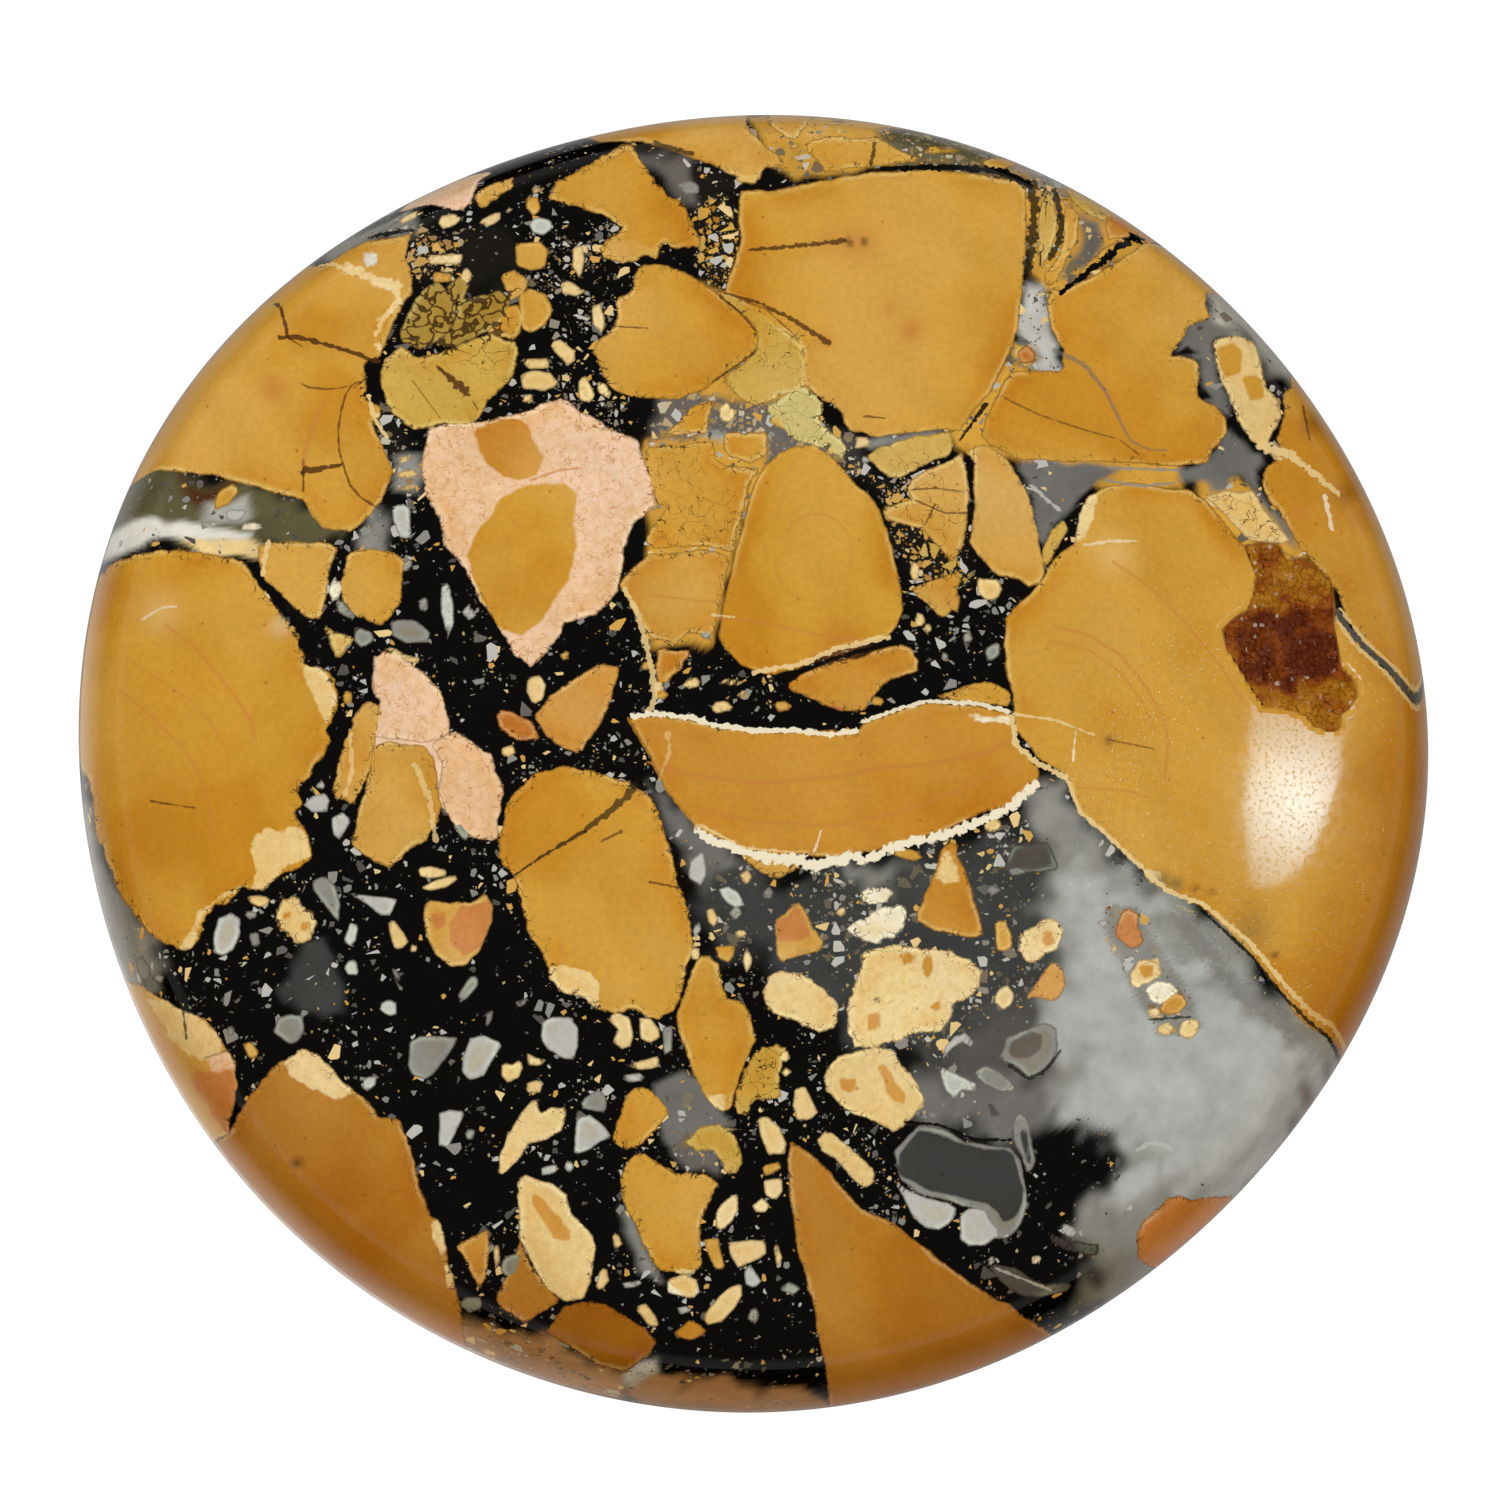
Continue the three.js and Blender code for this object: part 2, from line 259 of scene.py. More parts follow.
     "863,950 42,-5 25,3 25,6 15,6 11,12 -2,14 -9,14 -15,3 -5,17 -10,12 -20,-1 -20,9 -25,6 -20,2 "
     "-7,-18 -1,-25 15,-35"),
    ("cream low", "cream", 0.4,
     "824,1080 6,-15 10,-10 15,-4 25,-3 14,2 8,15 14,15 10,26 -11,7 -10,13 -12,5 -18,-10 -20,-6 "
     "-20,-14 -10,-11"),
    ("orange wedge", "amber", 0.3,
     "943,848 7,-6 7,3 0,11 7,11 6,15 14,54 -14,2 -15,-3 -20,-5 -21,-10 16,-35"),
    ("cream core", "custard", 0.5, "1017,942 8,-12 11,-3 10,-9 12,2 7,11 -7,17 -12,7 -10,10 -12,-5"),
    ("small amber", "honey", 0.3, "1024,1000 29,-40 9,10 4,15 -6,15 -15,2 -7,-5"),
    ("bottom wedge", "toasted", 0.3,
     "790,1141 10,5 30,26 31,37 25,10 19,12 31,27 55,38 20,10 15,13 15,7 29,24 -70,50 -100,40 -70,0 "
     "-2,-55 -16,-85 -13,-45 -10,-65 -2,-30"),
    ("lower left", "toasted", 0.4,
     "239,1112 11,-17 25,-30 28,-16 15,6 24,25 31,25 5,13 22,2 8,20 12,45 11,32 6,2 11,31 1,14 10,37 "
     "16,99 -145,-70 -100,-100 -50,-70 49,-26"),
    ("lower left edge", "light", 0.4,
     "146,988 37,24 22,5 30,43 4,25 -9,35 -1,14 -49,26 -70,-110 -10,-80"),
    ("edge orange", "rust", 0.4, "1139,1259 -3,-18 6,-16 26,-27 12,-4 10,6 50,-10 -30,50 -40,40"),
    ("tooth", "cream", 0.3,
     "517,1180 8,-5 30,11 11,9 6,20 21,20 3,11 -6,39 -7,14 -18,4 -20,-17 -13,-21 -12,-25"),
    ("tooth's lower side", "toasted", 0.4,
     "512,1262 8,-22 12,25 13,21 18,17 -15,5 -23,16 -23,-16 -6,-10"),
    ("bottom mid ochre", "baked", 0.4,
     "548,1333 14,-27 23,-4 21,3 20,10 30,25 -5,12 -10,10 -16,10 -25,-6"),
    ("small wedge", "amber", 0.4, "456,1245 32,-15 1,25 -4,27 -5,9"),
    ("mid bottom rock", "ochre", 0.4, "625,1096 10,-9 15,3 18,21 -4,11 -24,23 -12,5 -14,-7 2,-18"),
    ("hook over taupe", "mustard", 0.4,
     "685,1142 15,-16 20,-3 15,12 7,25 -4,13 -10,2 -8,-15 -8,-10 -16,0"),
    ("bottom tongue", "ochre", 0.4,
     "620,1181 5,-16 10,-12 11,2 29,18 15,0 20,5 7,7 -15,35 -2,20 2,26 -8,9 -36,-5 -8,-10 -28,-64"),
    ("diamond", "ochre", 0.3,
     "693,966 7,-11 10,0 8,10 4,20 5,13 13,2 8,10 9,30 -15,30 -12,38 -8,3 -10,-6 -12,-15 -19,-50 "
     "-5,-24"),
    ("greenish", "mustard", 0.6,
     "746,1066 6,-13 11,-8 13,0 9,6 -2,14 -5,15 3,15 -9,6 -12,-2 -8,2 -6,14 -8,-1 -2,-14 3,-15"),
    ("orange cream", "light", 0.3,
     "424,905 8,-6 13,4 25,-1 15,-10 8,13 -2,20 -11,25 -15,15 -15,2 -15,-12 -7,-15 -4,-15"),
    ("cream double", "cream", 0.5, "275,911 8,-13 13,-2 5,10 11,6 5,13 -6,15 -16,3 -6,-9 -9,-2"),
    ("cream hook", "cream", 0.3,
     "498,1173 2,-18 10,-25 20,-28 5,-3 6,13 10,-5 17,-1 -7,24 -16,10 -15,3 -10,15 -18,18"),
    ("dark agate", "grey", 0.2,
     "893,1150 27,-25 25,5 20,12 45,6 11,12 5,25 2,20 -7,20 -9,11 -16,3 -11,-27 -70,-20 -15,-13"),
    ("long cream", "cream", 0.3, "817,1140 8,-10 10,5 40,35 0,12 -10,6 -10,-5 -20,-25 -13,-8"),
    ("top crumb", "mustard", 0.4,
     "718,295 8,-5 19,10 20,12 38,33 3,15 0,25 -11,7 -15,4 -18,9 -17,-3 -25,-23 30,-21 7,-12 0,-14 "
     "-9,-14 -13,-8"),
    ("lens", "grey", 0.2, "998,1058 7,-13 0,-7 40,-15 12,5 1,22 -8,15 -15,13 -7,0 -10,-10"),
    ("slim lens", "grey", 0.2, "1015,1118 5,-6 8,8 8,40 -4,13 -6,-1 -4,-14 -7,-13 -3,-15"),
    ("grey lens", "smoke", 0.2, "985,1262 30,6 15,10 15,7 15,-2 15,2 -10,7 -20,5 -20,0 -15,-7 -12,-10"),
    ("smoky lens", "slate", 0.2, "1047,1232 18,8 35,5 -3,10 -12,0 -20,-5 -13,-8"),
    ("bead a", "rust", 0.3, "1103,905 5,-3 4,6 -4,8"),
    ("bead b", "pale", 0.3, "1098,922 10,-3 2,8 -10,0"),
    ("bead c", "clay", 0.3, "1117,925 5,-13 8,-6 8,9 2,15 5,10 -7,10 -10,-2 -12,-13"),
    ("bead d", "cream", 0.3, "1110,942 6,3 4,13 -5,0"),
    ("bead e", "pale", 0.3, "1122,958 10,-5 6,5 -8,17 -8,-5"),
    ("bead f", "cream", 0.3, "1130,975 8,-15 12,-2 10,7 2,10 -24,13 -6,-3"),
    ("bead g", "milk", 0.3, "1145,990 10,-8 13,-2 10,10 -6,10 -12,5 -10,-5"),
    ("bead h", "amber", 0.3, "1163,1000 7,-7 12,2 5,10 -7,8 -12,2 -8,-3"),
    ("bead i", "cream", 0.3, "1148,1010 10,-2 4,10 -12,0"),
    ("bead j", "cream", 0.3, "1155,1028 10,-6 10,6 -3,7 -12,0"),
    ("bead k", "cream", 0.3, "1178,1025 7,-7 13,2 2,10 -10,10 -10,-5"),
    ("ridge chip", "ochre", 0.4, "935,697 25,-9 25,-6 27,10 -2,14 -50,-4"),
    ("boat fringe", "light", 0.5, "733,848 69,10 -5,10 -15,10 -17,-2 -15,-11"),
]
print(len(LARGE_PIECES), "large pieces")

# %% [markdown]
# ## Chips
# Between the large pieces lie hundreds of small angular chips. The ones that show in the photo are
# placed here, each as the box that it fills: left, top, right, bottom.
# The larger splinters have outlines of their own, with a semicolon after each. The rest, down to
# dust, comes from the material.

# %% Chips, by tone
CHIP_BOXES = {
    "cream": (
        "716,1127,741,1135 853,435,872,450 910,560,919,582 682,676,703,691 711,701,736,714 "
        "720,678,742,685 738,691,751,699 652,675,664,700 982,818,1005,833 915,612,925,628 "
        "922,622,932,636 690,946,702,962 744,948,752,972 734,930,748,938 835,905,846,918 "
        "418,405,432,415 522,395,533,403 460,268,471,283 421,268,431,275 530,185,545,193 "
        "748,1030,757,1042 776,1052,790,1062 780,1068,793,1076 1160,1022,1176,1036 503,207,513,213 "
        "398,470,418,478 400,484,420,490 396,456,410,464"
    ),
    "milk": (
        "388,1022,391,1025 240,522,262,530 662,520,692,530 662,1274,703,1297 1030,1255,1042,1264 "
        "330,578,342,602"
    ),
    "ochre": (
        "982,154,1013,170 430,270,455,282 652,688,668,700 870,696,884,706 775,700,790,712 "
        "1190,500,1196,506"
    ),
    "light": (
        "503,273,530,300 735,172,760,184 790,142,800,150 640,660,652,672 948,592,960,612 "
        "1060,495,1066,503 560,650,570,660"
    ),
    "mustard": (
        "715,1063,735,1070 770,412,790,428 826,440,842,456 444,292,456,304"
    ),
    "amber": (
        "480,440,490,448"
    ),
    "rust": (
        "1015,344,1037,366 822,700,852,712"
    ),
    "pale": (
        "461,605,476,621 860,455,870,465 690,855,708,885 693,918,702,940 1000,445,1006,452"
    ),
    "grey": (
        "152,974,165,982 500,1250,528,1280 748,1307,760,1324 780,1283,800,1295 400,556,413,572 "
        "984,884,1000,896 1003,862,1030,876 962,630,972,644 985,640,1000,662 940,652,950,662 "
        "655,668,662,690 700,622,712,640 458,1297,484,1312 580,1090,610,1114 730,905,742,920 "
        "760,886,775,900 455,812,472,840"
    ),
    "smoke": (
        "1000,842,1056,876"
    ),
}
print(sum(len(boxes.split()) for boxes in CHIP_BOXES.values()), "placed chips")

# %% Splinters with their own outlines, by tone
SPLINTERS = {
    "pale": (
        "213,935 5,-17 14,-5 8,5 0,17 -8,15 -10,6 -8,-4; 345,892 15,3 25,2 12,3 -7,15 -10,0 -15,-12; "
        "350,923 8,2 -2,15 -6,8 -6,-8; 350,958 7,4 1,13 -10,0 -4,-7; 382,1002 8,-2 7,2 -1,13 -8,1 "
        "-8,-6; 470,1038 15,-3 17,9 -19,32 -13,4 -8,-8 1,-14; 542,1022 10,-5 18,0 8,11 0,17 -4,15 "
        "-12,-2 -14,-8 -7,-10; 439,1113 11,-3 15,2 -17,36 -9,-3; 541,1168 15,-3 1,7 -15,4; 566,1160 "
        "7,2 1,8 -6,3 -4,-5; 576,1118 14,-3 15,13 6,10 -11,4 -10,8 -16,5; 615,1075 25,-2 7,7 -17,3; "
        "718,890 10,-4 10,6 7,13 -10,3 -11,-8; 893,1178 12,10 20,10 25,5 8,7 -6,12 -12,8 -15,-2 "
        "-13,-13; 960,1215 10,-7 15,2 7,12 13,6 13,0 -10,10 -13,0 -10,8 -15,0 -10,-6; 942,1060 4,-15 "
        "9,-9 10,-3 10,9 -3,5 -10,-5 -10,6; 938,1065 40,20 -3,7 -13,-2 -7,10 -10,-10; 1058,1228 7,-4 "
        "10,4 5,10 -12,-1; 988,1258 6,-2 1,8 -6,2; 745,1270 5,-5 12,17 -7,6 -10,-3; 675,1308 13,-2 "
        "5,6 -13,3; 622,1283 18,-3 3,5 -18,4; 528,222 10,-5 12,3 3,8 -10,7 -10,-2; 303,805 7,-7 "
        "15,-5 4,7 -2,12 -15,0; 331,818 11,-6 9,8 -11,20 -7,-5; 316,787 4,-9 5,7 -3,5; 363,1078 "
        "14,-3 -2,10 -7,7 -7,-4; 441,583 8,0 4,22 0,20 -6,15 -6,-28; 225,508 23,2 -8,12 -14,-2; "
        "391,507 11,-4 8,5 0,17 3,15 -13,-2 -7,-18"
    ),
    "grey": (
        "312,880 13,-4 10,9 5,20 -2,17 -25,-32; 278,1018 12,-4 12,2 2,14 -4,10 -10,5 -17,-13; "
        "409,1042 11,-6 20,0 19,2 -16,24 -11,13 -7,5 -13,-5 -4,-10; 390,620 25,0 15,12 -2,10 -23,1 "
        "-13,-8; 355,627 17,5 3,8 -13,8 -8,-8; 418,600 9,-3 1,15 -8,-2; 243,912 12,-1 2,6 -9,3; "
        "248,933 10,-1 2,13 -8,3; 135,958 7,-3 8,13 0,10 -7,4 -7,-12; 470,977 7,-1 1,9 -10,13 -8,5 "
        "-2,-8; 392,968 5,4 6,18 -3,2 -6,-14; 486,1012 8,-3 -2,11 -6,8; 515,1002 13,-4 2,5 -12,4; "
        "662,1028 10,-2 0,24 -8,6; 973,1073 12,-8 15,7 10,8 10,12 -20,0 -15,-7; 226,1028 7,-2 2,9 "
        "-7,2; 465,1130 10,-2 -1,10 -7,2; 675,183 15,-3 10,5 -1,9 -14,0; 335,600 5,-2 15,17 -3,5 "
        "-14,-8"
    ),
    "cream": (
        "248,897 12,-2 10,3 -2,8 -10,1 -8,-5; 388,921 7,0 10,14 3,7 -8,8 -6,-3 -4,-12; 410,946 6,-2 "
        "1,7 -6,1; 418,868 12,-2 15,4 2,6 -17,3 -10,-3; 421,888 14,-8 20,-5 2,5 -12,8 -15,3; 383,648 "
        "9,-1 13,8 15,2 -2,7 -18,-4; 502,748 10,-3 4,7 -8,6 -6,-3; 528,678 12,-3 6,10 -3,15 -10,5 "
        "-6,-13; 502,1062 10,3 8,-5 3,8 -5,10 -10,5 -7,-8; 526,1052 9,5 12,3 -7,6 -12,-1; 524,1085 "
        "11,-5 8,3 -3,9 -12,1; 607,1018 11,-6 12,6 4,17 -4,12 -8,2 -10,-7 6,-12; 639,1018 11,0 8,10 "
        "2,10 -10,5 -10,-5; 625,1065 20,-5 14,-4 -1,12 -18,2; 795,1088 10,-1 13,25 -8,8 -13,0 "
        "-4,-15; 757,1118 11,-1 12,11 7,17 -2,10 -17,0 -6,-15; 763,1180 19,-2 0,14 -7,8 -10,-5; "
        "728,1242 37,-2 1,15 -28,13 -8,-13; 712,1305 8,-10 10,-8 12,-4 0,12 -7,13 -13,14 -14,3 "
        "-5,-7; 600,1270 6,-2 3,12 -7,10 -6,-2; 635,1308 10,-5 10,12 5,13 -12,-3; 715,1215 5,-10 "
        "12,-10 6,0 0,15 -6,12 -10,8 -5,-2; 752,1205 10,-7 8,7 -5,8 -10,-1; 612,1232 6,3 4,10 -7,5; "
        "706,910 7,-2 5,12 -3,8 -7,-6; 740,875 8,-5 4,8 -7,8; 993,1000 7,-12 8,-3 7,10 -3,10 -9,5; "
        "977,578 21,2 5,10 -6,10 -12,0 -7,-8; 573,246 9,0 3,16 -5,16 -8,-10; 560,282 10,-1 16,11 "
        "-11,4 -13,-3; 591,306 9,-2 5,14 -2,17 -10,-10; 549,343 11,-3 15,10 1,10 -8,6 -13,-14; "
        "520,360 28,-2 1,10 -19,1; 520,375 12,-5 18,2 10,13 -15,6 -23,-3; 578,378 8,-2 9,19 -5,8 "
        "-11,-3; 596,381 9,3 8,11 -5,3 -10,-6; 437,222 5,-6 13,-2 8,5 -8,6 -12,4; 478,222 12,-7 "
        "10,-3 0,8 -13,6; 398,222 7,-9 13,-5 -2,10 -14,6; 426,255 36,-1 0,10 -32,0; 363,400 15,8 3,7 "
        "-4,6 -9,-1; 718,408 10,-5 8,9 -6,10 -10,-2; 493,1247 6,-2 1,17 -5,8; 773,1245 5,-2 4,15 "
        "-5,12"
    ),
    "ochre": (
        "214,500 6,-10 15,-7 3,9 -8,11 -15,9; 515,243 25,-1 8,8 -3,18 -15,3 -14,-6; 525,197 13,-1 "
        "3,14 -8,6 -7,-8; 343,690 9,2 -1,11 -8,1; 242,1043 10,-1 6,10 -3,8 -7,-3; 762,1165 18,-3 2,8 "
        "-17,6; 703,1240 15,-2 7,32 -10,-2 -7,-13; 672,1335 18,-15 10,5 8,8 -18,7; 995,922 10,-2 "
        "7,15 1,13 -8,4 -9,-2; 715,947 20,-2 -1,10 -6,8 -10,-5; 735,1090 9,-5 1,20 -7,7; 888,852 "
        "12,-4 15,2 8,8 -8,4 -15,-4"
    ),
}
print(sum(text.count(";") + 1 for text in SPLINTERS.values()), "splinters")

# %% [markdown]
# ## Colours inside the pieces
# Some pieces hold a core or a patch of another tone: the ochre hearts of the pink piece, the
# cream caps. They are drawn in the same way and laid over the pieces.

# %% Cores and patches
PATCHES = [
    ("rose core", "honey", 0.5,
     "472,432 18,-10 25,-4 13,7 5,15 12,20 -7,15 -18,5 -15,-2 -15,-13 -10,-15"),
    ("rose heart", "ochre", 0.5,
     "500,500 20,-13 25,-5 20,1 11,7 2,15 -6,10 6,30 -10,35 -28,40 -19,18 -27,-13 -19,-41 -10,-31"),
    ("left cream top", "cream", 0.5, "303,667 15,0 12,13 8,20 -12,22 -8,-17 -10,-15"),
    ("left cream", "cream", 0.6,
     "255,835 15,-7 10,7 10,-10 10,5 10,10 2,18 -27,7 -17,27 -18,0 5,-22 -5,-20"),
    ("left cream foot", "cream", 0.5,
     "252,888 -22,4 -20,13 -7,10 -5,13 -3,17 -7,10 -13,-5 17,-20 5,-17 43,-28"),
    ("cream band", "custard", 0.9,
     "345,262 55,22 4,14 -16,18 -9,20 5,14 -6,1 -6,-15 10,-20 12,-16 -6,-10 -43,-19"),
    ("quartz blob", "frost", 0.4, "364,255 12,-1 1,10 -11,2"),
    ("top left fringe", "light", 0.9, "604,256 11,-18 9,-2 26,12 10,-6 -5,16 -15,6"),
    ("right cream", "cream", 0.6, "1078,505 17,-15 3,10 -8,20 -5,20 -13,5 2,-25"),
    ("right cream foot", "cream", 0.7, "1144,870 16,2 8,21 -18,3"),
    ("cream edge core", "ochre", 0.4, "1217,348 15,-6 10,10 -2,20 -14,6 -6,-14"),
    ("cream edge core low", "ochre", 0.4, "1243,378 13,-6 10,12 -2,16 -14,0"),
    ("lower left cap", "cream", 0.5, "283,1058 17,-8 22,6 30,29 -2,10 -15,4 -47,-24"),
    ("lower left side", "cream", 0.4, "432,1222 8,-2 7,15 0,13 -6,14 -7,-22"),
    ("lower left side low", "cream", 0.4, "443,1266 9,-4 4,23 -8,3"),
    ("lower edge cream", "cream", 0.6, "150,1000 28,2 22,16 20,18 2,20 -22,4 -30,-20"),
    ("lower left rust", "clay", 0.6, "187,1062 18,10 30,-4 2,22 -5,20 3,25 -7,0 -13,-15 -20,-30"),
    ("lower edge pink", "pink", 0.4, "208,1054 20,-2 8,10 -4,10 -20,0"),
    ("orange triangle core", "clay", 0.4, "797,905 9,15 6,15 -12,5 -22,0 -1,-20 11,-5"),
    ("orange wedge core", "amber", 0.4, "945,895 20,0 15,40 -25,-3 -20,-12 0,-15"),
    ("cream big spot a", "amber", 0.6, "898,952 22,-2 -5,12 -12,4"),
    ("cream big spot b", "amber", 0.5, "925,955 7,0 2,15 -6,8 -6,-8"),
    ("cream big spot c", "amber", 0.5, "925,1005 15,-5 3,8 -8,4"),
    ("cream big spot d", "honey", 0.7, "865,1016 15,-2 1,16 -13,0"),
    ("cream big speck", "umber", 0.3, "872,998 8,-1 0,6 -7,0"),
    ("cream low heart", "honey", 0.5, "877,1065 8,0 20,30 0,10 -10,-3 -10,-14"),
    ("cream low spot", "honey", 0.6, "838,1078 17,2 -1,12 -14,-2"),
    ("tooth core", "honey", 0.5, "530,1190 15,10 13,15 10,17 2,8 -15,-2 -20,-28"),
    ("orange cream side", "clay", 0.5, "460,906 20,-4 11,-7 0,25 -9,26 -17,9 -13,-10 -4,-20"),
    ("orange cream spot", "clay", 0.4, "430,915 15,-3 1,13 -11,7"),
    ("cream core spot", "honey", 0.4, "1043,932 10,-2 2,14 -10,2"),
    ("double heart a", "honey", 0.4, "300,922 10,0 0,10 -10,0"),
    ("double heart b", "honey", 0.4, "282,911 8,0 0,9 -7,0"),
    ("diamond tip", "cream", 0.4, "710,1095 15,0 -3,17 -10,-4"),
    ("tongue tip", "cream", 0.4, "665,1275 15,-5 20,-2 2,10 -12,22 -10,-8"),
    ("ovoid fringe", "cream", 0.95, "545,985 7,-15 8,-5 15,3 15,7 8,10 2,15 -2,10 -28,-12 -15,-3"),
    ("lens core", "taupe", 0.2, "1008,1052 2,-10 20,-10 12,3 0,13 -12,10 -15,0"),
    ("slim lens core", "slate", 0.2, "1020,1130 7,0 5,35 -4,0 -5,-15"),
    ("agate core", "slate", 0.2,
     "897,1170 1,-16 21,-24 19,4 20,8 26,7 20,0 10,6 10,35 -1,13 -6,13 -9,6 -6,0 -4,-10 -10,-8 "
     "-57,-13 -29,-14"),
    ("bead heart", "amber", 0.3, "1138,965 16,0 -2,12 -10,2"),
    ("milk top of boat", "milk", 0.5, "970,716 43,1 -1,7 -27,-2"),
    ("wedge cream", "cream", 0.5, "946,850 9,12 7,18 -18,4 -8,-8"),
]
print(len(PATCHES), "patches")

# %% [markdown]
# ## The ground between the pieces
# The ground is black silica. In places it turns to grey chalcedony, smoky quartz or olive
# stain. These changes are soft, so each zone is an outline with a feather in pixels, a tone,
# and how many chips and crumbs float in it.

